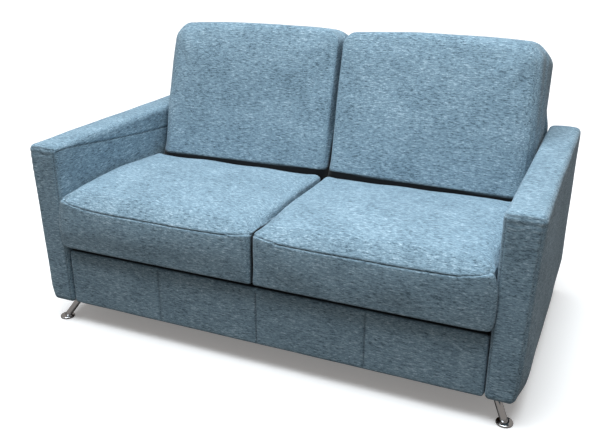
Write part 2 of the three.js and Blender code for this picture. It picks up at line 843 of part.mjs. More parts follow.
function addSeatSection(group) {
  const section = new THREE.Group();
  section.position.set(0, foldAxisY, foldAxisZ);
  const meshTop = backAxisFromFold - tubeSize / 2 - touchGap;
  addPiece(section, "seat_frame", seatFrame(), "coatedSteel");
  const meshEnd = seatSectionLength - hingeSetback;
  const sheet = sectionSheet(hingeSetback, meshEnd, meshTop - meshThickness, meshTop);
  addPiece(section, "seat_mesh", sheet, "zincSteel");
  const mattressLength = seatSectionLength - foldGap / 3;
  const mattress = addPiece(section, "seat_mattress", mattressSection(mattressLength), "ticking");
  mattress.position.z = foldGap / 2;
  sides.forEach(({ name, sign }) => {
    addPiece(section, `seat_cushion_${name}`, onSide(sign, seatCushion()), "upholstery");
  });
  group.add(section);
}

function addBackSection(group) {
  const section = new THREE.Group();
  section.position.set(0, foldAxisY + seatSectionLength, foldAxisZ + backAxisFromFold);
  section.rotation.x = -backTilt;
  const meshFront = tubeSize / 2 + touchGap;
  addPiece(section, "back_frame", backFrame(), "coatedSteel");
  const sheet = box(-mattressHalfWidth, mattressHalfWidth, meshFront, meshFront + meshThickness,
    hingeSetback, backSectionLength);
  addPiece(section, "back_mesh", sheet, "zincSteel");
  const mattress = addPiece(section, "back_mattress", mattressSection(backSectionLength), "ticking");
  mattress.rotation.x = Math.PI / 2;
  mattress.position.y = meshFront + meshThickness + touchGap + mattressThickness;
  addHingePins(section, "rear");
  sides.forEach(({ name, sign }) => {
    addPiece(section, `back_cushion_${name}`, onSide(sign, backCushion()), "upholstery");
    const leg = new THREE.Group();
    leg.position.set(0, -bedLegStandOff, bedLegHeightOnBack);
    addPiece(leg, `bed_leg_${name}`, onSide(sign, bedLeg()), "coatedSteel");
    addPiece(leg, `bed_leg_pad_${name}`, onSide(sign, bedLegPad()), "rubber");
    section.add(leg);
  });
  group.add(section);
}

function addHingePins(section, place) {
  sides.forEach(({ name, sign }) => {
    addPiece(section, `${place}_hinge_pin_${name}`, onSide(sign, hingePin()), "zincSteel");
  });
}

addArms(sofaBed);
addBase(sofaBed);
addFeet(sofaBed);
addCranks(sofaBed);
addHeadSection(sofaBed);
addSeatSection(sofaBed);
addBackSection(sofaBed);

export default sofaBed;
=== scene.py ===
"""The looks of a two-seat sofa bed with a turning seat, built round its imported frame. Metres, +Z up."""

import json
import math

import bmesh
import bpy
import numpy as np
from mathutils import Matrix, Vector
from mathutils.kdtree import KDTree


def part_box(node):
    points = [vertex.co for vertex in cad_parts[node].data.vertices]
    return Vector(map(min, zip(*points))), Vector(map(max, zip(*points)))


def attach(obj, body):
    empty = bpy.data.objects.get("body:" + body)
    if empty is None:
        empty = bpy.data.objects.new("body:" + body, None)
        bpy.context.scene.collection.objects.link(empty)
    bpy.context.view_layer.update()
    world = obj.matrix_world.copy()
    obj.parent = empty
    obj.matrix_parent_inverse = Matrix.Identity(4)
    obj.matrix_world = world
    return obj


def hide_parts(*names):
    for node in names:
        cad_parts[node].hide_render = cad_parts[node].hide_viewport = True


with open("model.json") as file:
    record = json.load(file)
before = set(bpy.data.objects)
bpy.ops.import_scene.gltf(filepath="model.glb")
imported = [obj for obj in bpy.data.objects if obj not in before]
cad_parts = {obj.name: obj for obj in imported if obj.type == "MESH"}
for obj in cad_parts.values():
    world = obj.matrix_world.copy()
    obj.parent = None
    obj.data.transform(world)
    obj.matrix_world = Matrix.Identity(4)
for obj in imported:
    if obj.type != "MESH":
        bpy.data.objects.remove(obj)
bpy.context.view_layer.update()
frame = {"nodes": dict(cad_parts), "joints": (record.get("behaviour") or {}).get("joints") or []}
MM = 0.001
SIDES = (("left", -1), ("right", 1))

# ---- Sizes that the looks add to the frame ----
ARM_ROUND = 18 * MM
ARM_LEAN = 18 * MM
ARM_CROWN = 4 * MM
ARM_SEAM_INSET = 5 * MM
ARM_CREASE_DROP = 24 * MM
ARM_BELLY = 15 * MM
ARM_TUCK = 11 * MM
PANEL_ROUND = 11 * MM
PANEL_FIELDS = 4
SEAT_ROUND = 26 * MM
SEAT_FRONT_ROUND = 38 * MM
SEAT_FOOT_ROUND = 8 * MM
SEAT_LIP = 24 * MM
SEAT_CORNER_RISE = 9 * MM
SEAT_REAR_TOP = 0.478
SEAT_REAR_SLOPE = 10 * MM
SEAT_EDGE_DROP = 16 * MM
SEAT_SEAM_DROP = 28 * MM
# How near black the painted shade in seams, creases and touching parts gets at full strength.
PAINTED_SHADE_DARKNESS = 0.8
BACK_TILT = math.radians(10)
BACK_CORNER = 66 * MM
BACK_SPLIT_CORNER = 52 * MM
BACK_SPLIT_ROUND = 9 * MM
BACK_TAPER = 17 * MM
# Strength of the painted shade where the cushions touch each other and the seat.
PAINTED_CONTACT_SHADE = 1.25
BACK_OUTER_ROUND = 46 * MM
BACK_LEAN = 44 * MM
HOOD_ROUND = 8 * MM
HOOD_WALL = 15 * MM
HOOD_GAP = 0.8 * MM
FRAME_TUBE = 25 * MM
STITCH_PITCH = 4.5 * MM
THREAD_RADIUS = 0.45 * MM
WIRE_PITCH = 50 * MM
FOOT_LEAN = 42 * MM
FOOT_TUBE_RADIUS = 11 * MM
FOOT_PLATE_HALF = 32 * MM
FOOT_PLATE_THICKNESS = 4 * MM
FOOT_SCREW_OUT = 22 * MM
CLOTH_FRAMES = 20


# ---------------------------------------------------------------- node helpers


def link(tree, source, target):
    tree.links.new(source, target)


def add(tree, kind, **settings):
    """A node of that kind, with its settings; a setting whose name is an input sets that input."""
    node = tree.nodes.new(kind)
    for name, value in settings.items():
        setattr(node, name, value)
    return node


def feed(tree, node, values):
    """Sets or links a node's inputs, by name or by number."""
    for name, value in values.items():
        if isinstance(value, bpy.types.NodeSocket):
            link(tree, value, node.inputs[name])
        else:
            node.inputs[name].default_value = value
    return node


def maths(tree, operation, a, b=0.0, c=0.0):
    node = add(tree, "ShaderNodeMath", operation=operation)
    feed(tree, node, {0: a, 1: b, 2: c})
    return node.outputs[0]


def vector_maths(tree, operation, a, b):
    node = add(tree, "ShaderNodeVectorMath", operation=operation)
    feed(tree, node, {0: a, 1: b})
    return node.outputs[0]


def noise(tree, at, scale, detail=2.0, roughness=0.5):
    node = add(tree, "ShaderNodeTexNoise")
    feed(tree, node, {"Vector": at, "Scale": scale, "Detail": detail, "Roughness": roughness})
    return node.outputs["Fac"]


def fade(tree, value, low, high, to_low=0.0, to_high=1.0):
    node = add(tree, "ShaderNodeMapRange", interpolation_type="SMOOTHSTEP")
    feed(tree, node, {0: value, 1: low, 2: high, 3: to_low, 4: to_high})
    return node.outputs[0]


def blend_colours(tree, share, a, b):
    node = add(tree, "ShaderNodeMix", data_type="RGBA")
    feed(tree, node, {0: share, 6: a, 7: b})
    return node.outputs[2]


def new_group(name, inputs, outputs):
    """A shader node group with named sockets, and its two end nodes."""
    group = bpy.data.node_groups.new(name, "ShaderNodeTree")
    for label, kind, value in inputs:
        socket = group.interface.new_socket(label, in_out="INPUT", socket_type=kind)
        if value is not None:
            socket.default_value = value
    for label, kind in outputs:
        group.interface.new_socket(label, in_out="OUTPUT", socket_type=kind)
    return group, group.nodes.new("NodeGroupInput"), group.nodes.new("NodeGroupOutput")


FLOAT = "NodeSocketFloat"
VECTOR = "NodeSocketVector"
COLOUR = "NodeSocketColor"


def melange_group():
    """Heathered yarn: long flecks along the weft, fine threads across them, and a soft overall drift, with
    painted shade, towards near black, laid over it where its attribute is set.
    """
    group, given, result = new_group(
        "melange_weave",
        [
            ("Position", VECTOR, None),
            ("Side", FLOAT, 0.0),
            ("Seam", FLOAT, 0.0),
            ("Dark", COLOUR, (0.1, 0.15, 0.2, 1)),
            ("Mid", COLOUR, (0.2, 0.3, 0.4, 1)),
            ("Light", COLOUR, (0.4, 0.5, 0.6, 1)),
            ("Fleck Length", FLOAT, 0.03),
            ("Fleck Height", FLOAT, 0.004),
            ("Thread", FLOAT, 0.002),
        ],
        [("Colour", COLOUR), ("Height", FLOAT), ("Roughness", FLOAT)],
    )
    place = add(group, "ShaderNodeSeparateXYZ")
    link(group, given.outputs["Position"], place.inputs[0])
    x, y, z = place.outputs
    side = maths(group, "GREATER_THAN", given.outputs["Side"], 0.5)
    not_side = maths(group, "SUBTRACT", 1.0, side)
    along = maths(group, "ADD", maths(group, "MULTIPLY", x, not_side), maths(group, "MULTIPLY", y, side))
    depth = maths(group, "ADD", maths(group, "MULTIPLY", y, not_side), maths(group, "MULTIPLY", x, side))
    across = maths(group, "ADD", depth, z)

    def stretched(length, height):
        node = add(group, "ShaderNodeCombineXYZ")
        feed(group, node, {
            0: maths(group, "DIVIDE", along, length),
            1: maths(group, "DIVIDE", depth, height),
            2: maths(group, "DIVIDE", z, height),
        })
        return node.outputs[0]

    length, height = given.outputs["Fleck Length"], given.outputs["Fleck Height"]
    long_flecks = noise(group, stretched(length, height), 1.0, 3.0, 0.6)
    short_flecks = noise(group, stretched(maths(group, "MULTIPLY", length, 0.35),
                                          maths(group, "MULTIPLY", height, 0.5)), 1.0, 2.0, 0.65)
    drift = noise(group, given.outputs["Position"], 9.0, 2.0)
    long_share = maths(group, "MULTIPLY", long_flecks, 0.6)
    short_share = maths(group, "MULTIPLY", short_flecks, 0.4)
    drift_share = maths(group, "MULTIPLY", maths(group, "SUBTRACT", drift, 0.5), 0.12)
    mixed = maths(group, "ADD", maths(group, "ADD", long_share, short_share), drift_share)
    dark_share = fade(group, mixed, 0.36, 0.52, 1.0, 0.0)
    light_share = fade(group, mixed, 0.52, 0.68)
    colour = blend_colours(group, dark_share, given.outputs["Mid"], given.outputs["Dark"])
    colour = blend_colours(group, light_share, colour, given.outputs["Light"])
    # Painted shade: the colour is blended towards near black where seams, creases and touching parts would
    # lie in shadow.
    painted_shade_share = maths(group, "MULTIPLY", given.outputs["Seam"], PAINTED_SHADE_DARKNESS)
    colour = blend_colours(group, painted_shade_share, colour, (0.004, 0.006, 0.008, 1))

    turn = 2 * math.pi
    pitch = given.outputs["Thread"]
    weft = maths(group, "SINE", maths(group, "DIVIDE", maths(group, "MULTIPLY", across, turn), pitch))
    warp = maths(group, "SINE", maths(group, "DIVIDE", maths(group, "MULTIPLY", along, turn),
                                      maths(group, "MULTIPLY", pitch, 1.6)))
    threads = maths(group, "MULTIPLY", weft, warp)
    body = maths(group, "ADD", maths(group, "MULTIPLY", threads, 0.25), short_flecks)
    height_out = maths(group, "ADD", body, long_flecks)
    rough = fade(group, mixed, 0.3, 0.7, 0.98, 0.84)
    feed(group, result, {"Colour": colour, "Height": height_out, "Roughness": rough})
    return group


def metal_group():
    """Small scratches, a soft drift in gloss, and a dull film."""
    group, given, result = new_group(
        "worn_metal",
        [
            ("Position", VECTOR, None),
            ("Base", COLOUR, (0.5, 0.5, 0.5, 1)),
            ("Worn", COLOUR, (0.6, 0.6, 0.6, 1)),
            ("Smooth", FLOAT, 0.2),
            ("Rough", FLOAT, 0.4),
            ("Grain", FLOAT, 300.0),
        ],
        [("Colour", COLOUR), ("Height", FLOAT), ("Roughness", FLOAT)],
    )
    position = given.outputs["Position"]
    drift = noise(group, position, 14.0, 4.0)
    grain = noise(group, position, given.outputs["Grain"], 2.0)
    streaks = noise(group, vector_maths(group, "MULTIPLY", position, (40.0, 900.0, 900.0)), 1.0, 2.0)
    wear = fade(group, maths(group, "ADD", drift, maths(group, "MULTIPLY", grain, 0.3)), 0.62, 0.82)
    colour = blend_colours(group, wear, given.outputs["Base"], given.outputs["Worn"])
    span = maths(group, "SUBTRACT", given.outputs["Rough"], given.outputs["Smooth"])
    share = maths(group, "MULTIPLY", maths(group, "ADD", drift, streaks), 0.5)
    rough = maths(group, "ADD", given.outputs["Smooth"], maths(group, "MULTIPLY", span, share))
    feed(group, result, {
        "Colour": colour,
        "Height": maths(group, "ADD", grain, maths(group, "MULTIPLY", streaks, 0.5)),
        "Roughness": rough,
    })
    return group


def new_material(name):
    material = bpy.data.materials.new(name)
    material.use_nodes = True
    tree = material.node_tree
    return material, tree, tree.nodes["Principled BSDF"]


def placed_group(tree, group, values):
    node = add(tree, "ShaderNodeGroup", node_tree=group)
    coordinates = add(tree, "ShaderNodeTexCoord")
    feed(tree, node, {"Position": coordinates.outputs["Object"], **values})
    return node


def finish_surface(tree, shader, node, bump_distance, strength):
    bump = add(tree, "ShaderNodeBump")
    feed(tree, bump, {"Height": node.outputs["Height"], "Distance": bump_distance, "Strength": strength})
    feed(tree, shader, {
        "Base Color": node.outputs["Colour"],
        "Roughness": node.outputs["Roughness"],
        "Normal": bump.outputs["Normal"],
    })


def cloth_material(name, dark, mid, light, fleck, thread, sheen, bump=0.0006):
    material, tree, shader = new_material(name)
    side = add(tree, "ShaderNodeAttribute", attribute_name="cloth_side")
    # Painted shade in seams, creases and where parts touch, read from the mesh.
    seam = add(tree, "ShaderNodeAttribute", attribute_name="cloth_painted_shade")
    node = placed_group(tree, WEAVE, {
        "Side": side.outputs["Fac"],
        "Seam": seam.outputs["Fac"],
        "Dark": (*dark, 1),
        "Mid": (*mid, 1),
        "Light": (*light, 1),
        "Fleck Length": fleck[0],
        "Fleck Height": fleck[1],
        "Thread": thread,
    })
    finish_surface(tree, shader, node, bump, 0.7)
    feed(tree, shader, {"Sheen Weight": sheen, "Sheen Roughness": 0.5, "Specular IOR Level": 0.15})
    return material


def metal_material(name, base, worn, smooth, rough, metallic, grain=300.0, coat=0.0, bump=0.00004):
    material, tree, shader = new_material(name)
    node = placed_group(tree, METAL, {
        "Base": (*base, 1),
        "Worn": (*worn, 1),
        "Smooth": smooth,
        "Rough": rough,
        "Grain": grain,
    })
    finish_surface(tree, shader, node, bump, 0.4)
    feed(tree, shader, {"Metallic": metallic, "Coat Weight": coat})
    return material


def wood_material(name, pale, dark, rings, along):
    """Growth rings stretched along one axis, with fine pores."""
    material, tree, shader = new_material(name)
    coordinates = add(tree, "ShaderNodeTexCoord")
    scale = [rings, rings, rings]
    scale[along] = rings * 0.06
    position = vector_maths(tree, "MULTIPLY", coordinates.outputs["Object"], tuple(scale))
    wave = add(tree, "ShaderNodeTexWave", wave_type="RINGS")
    feed(tree, wave, {
        "Vector": position,
        "Scale": 1.0,
        "Distortion": 6.0,
        "Detail": 3.0,
        "Detail Scale": 1.5,
    })
    fine = vector_maths(tree, "MULTIPLY", coordinates.outputs["Object"], (700.0, 700.0, 700.0))
    ring_share = maths(tree, "MULTIPLY", wave.outputs["Fac"], 0.8)
    pore_share = maths(tree, "MULTIPLY", noise(tree, fine, 1.0), 0.2)
    share = maths(tree, "ADD", ring_share, pore_share)
    bump = add(tree, "ShaderNodeBump")
    feed(tree, bump, {"Height": share, "Distance": 0.0003, "Strength": 0.5})
    feed(tree, shader, {
        "Base Color": blend_colours(tree, share, (*pale, 1), (*dark, 1)),
        "Roughness": fade(tree, share, 0.0, 1.0, 0.62, 0.8),
        "Normal": bump.outputs["Normal"],
    })
    return material


def rubber_material():
    material, tree, shader = new_material("ribbed_rubber")
    coordinates = add(tree, "ShaderNodeTexCoord")
    grain = noise(tree, coordinates.outputs["Object"], 900.0, 3.0)
    bump = add(tree, "ShaderNodeBump")
    feed(tree, bump, {"Height": grain, "Distance": 0.0002, "Strength": 0.6})
    feed(tree, shader, {
        "Base Color": blend_colours(tree, grain, (0.012, 0.012, 0.013, 1), (0.03, 0.03, 0.031, 1)),
        "Roughness": fade(tree, grain, 0.3, 0.7, 0.6, 0.85),
        "Normal": bump.outputs["Normal"],
    })
    return material


WEAVE = melange_group()
METAL = metal_group()
UPHOLSTERY = cloth_material("blue_grey_melange", (0.08, 0.13, 0.17), (0.22, 0.335, 0.42), (0.50, 0.65, 0.75),
                            (0.016, 0.0036), 0.0022, 0.12)
TICKING = cloth_material("quilted_ticking", (0.34, 0.33, 0.30), (0.47, 0.455, 0.42), (0.58, 0.565, 0.53),
                         (0.010, 0.0020), 0.0012, 0.15, 0.0003)
# A near-black border cloth: the border's own dark colour, and also a stand-in for the shade in the gap under
# the seat cushions.
BORDER = cloth_material("graphite_border_cloth_and_gap_shade", (0.018, 0.019, 0.021), (0.03, 0.032, 0.035),
                        (0.05, 0.052, 0.056), (0.004, 0.0040), 0.0030, 0.1, 0.0004)
THREAD = cloth_material("sewing_thread", (0.10, 0.16, 0.21), (0.15, 0.24, 0.31), (0.24, 0.34, 0.42),
                        (0.004, 0.0006), 0.0006, 0.1, 0.0001)
CHROME = metal_material("polished_chrome", (0.83, 0.84, 0.86), (0.78, 0.79, 0.81), 0.05, 0.14, 1.0, 500.0)
ZINC = metal_material("zinc_plate", (0.50, 0.52, 0.55), (0.62, 0.62, 0.60), 0.28, 0.5, 1.0)
BLACK_STEEL = metal_material("black_powder_coat", (0.022, 0.023, 0.025), (0.05, 0.05, 0.052), 0.35, 0.6,
                             0.0, 1200.0, 0.1, 0.0001)
TIMBER = wood_material("planed_softwood", (0.60, 0.43, 0.26), (0.42, 0.27, 0.14), 70.0, 2)
BOARD = wood_material("hardboard", (0.26, 0.17, 0.10), (0.17, 0.11, 0.065), 240.0, 0)
RUBBER = rubber_material()


# ---------------------------------------------------------------- mesh helpers


def spread(low, high, round_low, round_high, step):
    """Positions from low to high, about a step apart, and closer together over the rounds at the ends."""
    steps = 5
    start = low + round_low * np.linspace(0, 1, steps + 1)
    end = high - round_high * np.linspace(1, 0, steps + 1)
    count = max(2, math.ceil((end[0] - start[-1]) / step) + 1)
    return np.concatenate([start, np.linspace(start[-1], end[0], count)[1:-1], end])


def with_lines(places, lines, width):
    """The positions, with three close ones at each line, so that a groove there is sharp."""
    for line in lines:
        places = places[np.abs(places - line) > 1.5 * width]
        places = np.concatenate([places, line + width * np.array([-1.0, -0.5, 0.0, 0.5, 1.0])])
    return np.unique(np.round(places, 6))


def with_step(places, at):
    """The positions, with a close pair round one place, so that a wall there stands upright."""
    places = places[np.abs(places - at) > 2 * MM]
    return np.unique(np.concatenate([places, [at - 0.1 * MM, at + 0.1 * MM]]))


def block(xs, ys, zs):
    """The points and outward faces of a closed block whose surface has those lines."""
    grid = np.stack(np.meshgrid(xs, ys, zs, indexing="ij"), axis=-1)
    counts = np.array(grid.shape[:3])
    at = np.indices(grid.shape[:3])
    last = counts.reshape(3, 1, 1, 1) - 1
    on_surface = ((at == 0) | (at == last)).any(axis=0)
    number = np.full(grid.shape[:3], -1)
    number[on_surface] = np.arange(on_surface.sum())
    faces = []
    for axis in range(3):
        for end in (0, -1):
            sheet = np.take(number, end, axis=axis)
            a, b, c, d = sheet[:-1, :-1], sheet[1:, :-1], sheet[1:, 1:], sheet[:-1, 1:]
            outward = (end == -1) != (axis == 1)
            quad = (a, b, c, d) if outward else (a, d, c, b)
            faces.append(np.stack(quad, axis=-1).reshape(-1, 4))
    return grid[on_surface], np.concatenate(faces)


def round_off(points, low, high, radii):
    """Rounds a block's edges and corners; the radii may differ along the axes and from point to point."""
    radii = np.broadcast_to(np.asarray(radii, float), points.shape)
    inner = np.clip(points, np.asarray(low) + radii, np.asarray(high) - radii)
    offset = (points - inner) / radii
    size = np.linalg.norm(offset, axis=1, keepdims=True)
    return inner + radii * offset / np.maximum(size, 1e-9)


def new_piece(name, points, faces, material):
    mesh = bpy.data.meshes.new(name)
    mesh.from_pydata(points.tolist(), [], faces.tolist() if hasattr(faces, "tolist") else faces)
    mesh.materials.append(material)
    mesh.polygons.foreach_set("use_smooth", np.ones(len(mesh.polygons), bool))
    mesh.update()
    piece = bpy.data.objects.new(name, mesh)
    bpy.context.scene.collection.objects.link(piece)
    return piece


def points_of(piece):
    flat = np.zeros(len(piece.data.vertices) * 3)
    piece.data.vertices.foreach_get("co", flat)
    return flat.reshape(-1, 3)


def set_points(piece, points):
    piece.data.vertices.foreach_set("co", np.ascontiguousarray(points, float).ravel())
    piece.data.update()


def normals_of(piece):
    flat = np.zeros(len(piece.data.vertices) * 3)
    piece.data.vertices.foreach_get("normal", flat)
    return flat.reshape(-1, 3)


def settle(piece, turn=None):
    """Merges doubles, turns faces outwards, and puts the piece in place."""
    work = bmesh.new()
    work.from_mesh(piece.data)
    bmesh.ops.remove_doubles(work, verts=work.verts, dist=0.00002)
    bmesh.ops.dissolve_degenerate(work, edges=work.edges, dist=0.00001)
    bmesh.ops.recalc_face_normals(work, faces=work.faces)
    work.to_mesh(piece.data)
    work.free()
    if turn is not None:
        piece.data.transform(turn)
    piece.data.update()
    return piece


def mark_sides(piece):
    """Says where the weave turns on to the faces that look along x."""
    facing = np.abs(normals_of(piece)[:, 0])
    share = np.clip((facing - 0.55) / 0.3, 0, 1)
    mark = piece.data.attributes.new("cloth_side", "FLOAT", "POINT")
    mark.data.foreach_set("value", share.astype(np.float32))


def mirrored(points):
    return points * np.array([-1.0, 1.0, 1.0])


def right_hand(box, sign):
    """A box's corners, for a left-hand piece those of its mirror image on the right."""
    low, high = (np.array(corner) for corner in box)
    if sign < 0:
        low[0], high[0] = -high[0], -low[0]
    return low, high


def ripple(points, seed, size, height):
    """A gentle unevenness, the same on each run: a few waves in seeded directions."""
    draw = np.random.default_rng(seed)
    total = np.zeros(len(points))
    waves = 7
    for _ in range(waves):
        direction = draw.normal(size=3)
        direction /= np.linalg.norm(direction)
        length = size * draw.uniform(0.6, 1.6)
        total += np.sin(points @ direction * 2 * math.pi / length + draw.uniform(0, 2 * math.pi))
    return height * total / math.sqrt(waves)


def distances(points, path):
    """How far each point is from a path, and how far along the path the nearest place is."""
    path = np.asarray(path, float)
    steps = np.concatenate([[0], np.cumsum(np.linalg.norm(np.diff(path, axis=0), axis=1))])
    tree = KDTree(len(path))
    for i, place in enumerate(path):
        tree.insert(place, i)
    tree.balance()
    found = [tree.find(p) for p in points]
    return np.array([f[2] for f in found]), steps[[f[1] for f in found]]


def dense(path, step=0.002):
    """The path again, with points about a step apart."""
    path = np.asarray(path, float)
    along = np.concatenate([[0], np.cumsum(np.linalg.norm(np.diff(path, axis=0), axis=1))])
    at = np.linspace(0, along[-1], max(2, int(along[-1] / step)))
    return np.stack([np.interp(at, along, path[:, k]) for k in range(3)], axis=1)


def paint_shade(piece, shade):
    """Adds painted shade to the cloth at each point: darkening that stands in for the shadow in a seam, a
    crease or where parts touch.
    """
    mesh = piece.data
    mark = mesh.attributes.get("cloth_painted_shade") or mesh.attributes.new("cloth_painted_shade", "FLOAT", "POINT")
    old = np.zeros(len(mesh.vertices), np.float32)
    mark.data.foreach_get("value", old)
    mark.data.foreach_set("value", np.maximum(old, shade).astype(np.float32))


def sew(piece, path, depth, width, pucker=0.0, reach=0.03, gather=0.022, shade=1.0):
    """Draws a seam in: a groove along the path with painted shade in it, and small gathers beside it."""
    points = points_of(piece)
    far, along = distances(points, dense(path))
    # Painted shade along the groove, as strong as shade says.
    paint_shade(piece, shade * np.exp(-((far / (0.8 * width)) ** 2)))
    groove = -depth * np.exp(-((far / width) ** 2))
    gathers = pucker * np.sin(2 * math.pi * along / gather + 1.7 * np.sin(along * 23.0))
    gathers *= np.exp(-((far / reach) ** 2)) * (1 - np.exp(-((far / width) ** 2)))
    set_points(piece, points + normals_of(piece) * (groove + gathers)[:, None])


def puff(piece, held, pressure, cap, stiffness=12.0):
    """Inflates a cover by cloth simulation, with the held points kept, and applies the result."""
    start = points_of(piece)
    group = piece.vertex_groups.new(name="held")
    group.add([int(i) for i in np.nonzero(held)[0]], 1.0, "REPLACE")
    cloth = piece.modifiers.new("puff", "CLOTH")
    settings = cloth.settings
    settings.quality = 4
    settings.mass = 0.25
    settings.tension_stiffness = stiffness
    settings.compression_stiffness = stiffness
    settings.shear_stiffness = stiffness / 2
    settings.bending_stiffness = 0.6
    settings.use_pressure = True
    settings.uniform_pressure_force = pressure
    settings.vertex_group_mass = group.name
    settings.effector_weights.gravity = 0
    cloth.collision_settings.use_collision = False
    cloth.point_cache.frame_start = 1
    cloth.point_cache.frame_end = CLOTH_FRAMES
    scene = bpy.context.scene
    for step in range(1, CLOTH_FRAMES + 1):
        scene.frame_set(step)
    evaluated = piece.evaluated_get(bpy.context.evaluated_depsgraph_get())
    flat = np.zeros(len(evaluated.data.vertices) * 3)
    evaluated.data.vertices.foreach_get("co", flat)
    moved = flat.reshape(-1, 3) - start
    size = np.linalg.norm(moved, axis=1, keepdims=True)
    moved *= np.minimum(1, cap / np.maximum(size, 1e-9))
    piece.modifiers.remove(cloth)
    piece.vertex_groups.remove(group)
    scene.frame_set(1)
    set_points(piece, start + moved)


def keep_inside(piece, low, high):
    set_points(piece, np.clip(points_of(piece), low, high))


def refine(piece):
    """One level of subdivision, applied."""
    smooth = piece.modifiers.new("smooth", "SUBSURF")
    smooth.levels = 1
    smooth.render_levels = 1
    evaluated = piece.evaluated_get(bpy.context.evaluated_depsgraph_get())
    fine = bpy.data.meshes.new_from_object(evaluated)
    piece.modifiers.remove(smooth)
    old = piece.data
    piece.data = fine
    bpy.data.meshes.remove(old)
    fine.name = piece.name


def hand_over(piece, body, replaced=()):
    """Puts the piece on the body that it moves with, and hides the frame parts that it stands for."""
    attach(piece, body)
    if replaced:
        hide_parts(*replaced)


# ---------------------------------------------------------------- repeats, by geometry nodes


def tree_for(name, inputs):
    tree = bpy.data.node_groups.new(name, "GeometryNodeTree")
    tree.interface.new_socket("Geometry", in_out="INPUT", socket_type="NodeSocketGeometry")
    sockets = {}
    for label, value in inputs:
        sockets[label] = tree.interface.new_socket(label, in_out="INPUT", socket_type=FLOAT)
        sockets[label].default_value = value
    tree.interface.new_socket("Geometry", in_out="OUTPUT", socket_type="NodeSocketGeometry")
    return tree, tree.nodes.new("NodeGroupInput"), tree.nodes.new("NodeGroupOutput"), sockets


def stitch_tree(material):
    """Short round-ended threads, one after the other along a curve."""
    inputs = [("Pitch", 0.005), ("Length", 0.0034), ("Radius", 0.0004)]
    tree, given, result, sockets = tree_for("stitch_row", inputs)
    resample = add(tree, "GeometryNodeResampleCurve", mode="LENGTH")
    feed(tree, resample, {"Curve": given.outputs["Geometry"], "Length": given.outputs["Pitch"]})
    to_points = add(tree, "GeometryNodeCurveToPoints", mode="EVALUATED")
    feed(tree, to_points, {"Curve": resample.outputs[0]})
    capsule = add(tree, "GeometryNodeMeshUVSphere")
    feed(tree, capsule, {"Segments": 6, "Rings": 4, "Radius": 1.0})
    stretch = add(tree, "ShaderNodeCombineXYZ")
    half = maths(tree, "MULTIPLY", given.outputs["Length"], 0.5)
    feed(tree, stretch, {0: given.outputs["Radius"], 1: given.outputs["Radius"], 2: half})
    instances = add(tree, "GeometryNodeInstanceOnPoints")
    feed(tree, instances, {
        "Points": to_points.outputs["Points"],
        "Instance": capsule.outputs["Mesh"],
        "Rotation": to_points.outputs["Rotation"],
        "Scale": stretch.outputs[0],
    })
    return finish_tree(tree, instances.outputs[0], result, material), sockets


def wire_tree(material):
    """Round wires along the edges of a flat grid."""
    tree, given, result, sockets = tree_for("welded_wires", [("Radius", 0.0015)])
    curve = add(tree, "GeometryNodeMeshToCurve")
    feed(tree, curve, {"Mesh": given.outputs["Geometry"]})
    ring = add(tree, "GeometryNodeCurvePrimitiveCircle")
    feed(tree, ring, {"Resolution": 6, "Radius": given.outputs["Radius"]})
    tube = add(tree, "GeometryNodeCurveToMesh")
    feed(tree, tube, {"Curve": curve.outputs[0], "Profile Curve": ring.outputs[0], "Fill Caps": True})
    return finish_tree(tree, tube.outputs[0], result, material), sockets


def screw_tree(material):
    """A hexagonal head on a round washer at each point, turned to the point's normal."""
    tree, given, result, sockets = tree_for("screw_heads", [("Radius", 0.005), ("Height", 0.0025)])
    washer = add(tree, "GeometryNodeMeshCylinder")
    feed(tree, washer, {"Vertices": 20, "Radius": maths(tree, "MULTIPLY", given.outputs["Radius"], 1.35),
                        "Depth": maths(tree, "MULTIPLY", given.outputs["Height"], 0.4)})
    head = add(tree, "GeometryNodeMeshCylinder")
    feed(tree, head, {"Vertices": 6, "Radius": given.outputs["Radius"], "Depth": given.outputs["Height"]})
    lifted = add(tree, "GeometryNodeTransform")
    up = add(tree, "ShaderNodeCombineXYZ")
    feed(tree, up, {2: maths(tree, "MULTIPLY", given.outputs["Height"], 0.65)})
    feed(tree, lifted, {"Geometry": head.outputs["Mesh"], "Translation": up.outputs[0]})
    both = add(tree, "GeometryNodeJoinGeometry")
    link(tree, lifted.outputs[0], both.inputs[0])
    link(tree, washer.outputs["Mesh"], both.inputs[0])
    normal = add(tree, "GeometryNodeInputNormal")
    turn = add(tree, "FunctionNodeAlignRotationToVector", axis="Z")
    feed(tree, turn, {"Vector": normal.outputs[0]})
    instances = add(tree, "GeometryNodeInstanceOnPoints")
    feed(tree, instances, {
        "Points": given.outputs["Geometry"],
        "Instance": both.outputs[0],
        "Rotation": turn.outputs[0],
    })
    return finish_tree(tree, instances.outputs[0], result, material), sockets


def finish_tree(tree, geometry, result, material):
    realize = add(tree, "GeometryNodeRealizeInstances")
    feed(tree, realize, {0: geometry})
    shade = add(tree, "GeometryNodeSetShadeSmooth")
    feed(tree, shade, {0: realize.outputs[0]})
    paint = add(tree, "GeometryNodeSetMaterial")
    feed(tree, paint, {"Geometry": shade.outputs[0], "Material": material})
    feed(tree, result, {0: paint.outputs[0]})
    return tree


def grown(name, source, made, values):
    """The plain mesh that a tree makes from a source object, which is then removed."""
    tree, sockets = made
    modifier = source.modifiers.new("grow", "NODES")
    modifier.node_group = tree
    for label, value in values.items():
        modifier[sockets[label].identifier] = value
    mesh = bpy.data.meshes.new_from_object(source.evaluated_get(bpy.context.evaluated_depsgraph_get()))
    mesh.name = name
    bpy.data.objects.remove(source)
    piece = bpy.data.objects.new(name, mesh)
    bpy.context.scene.collection.objects.link(piece)
    return piece


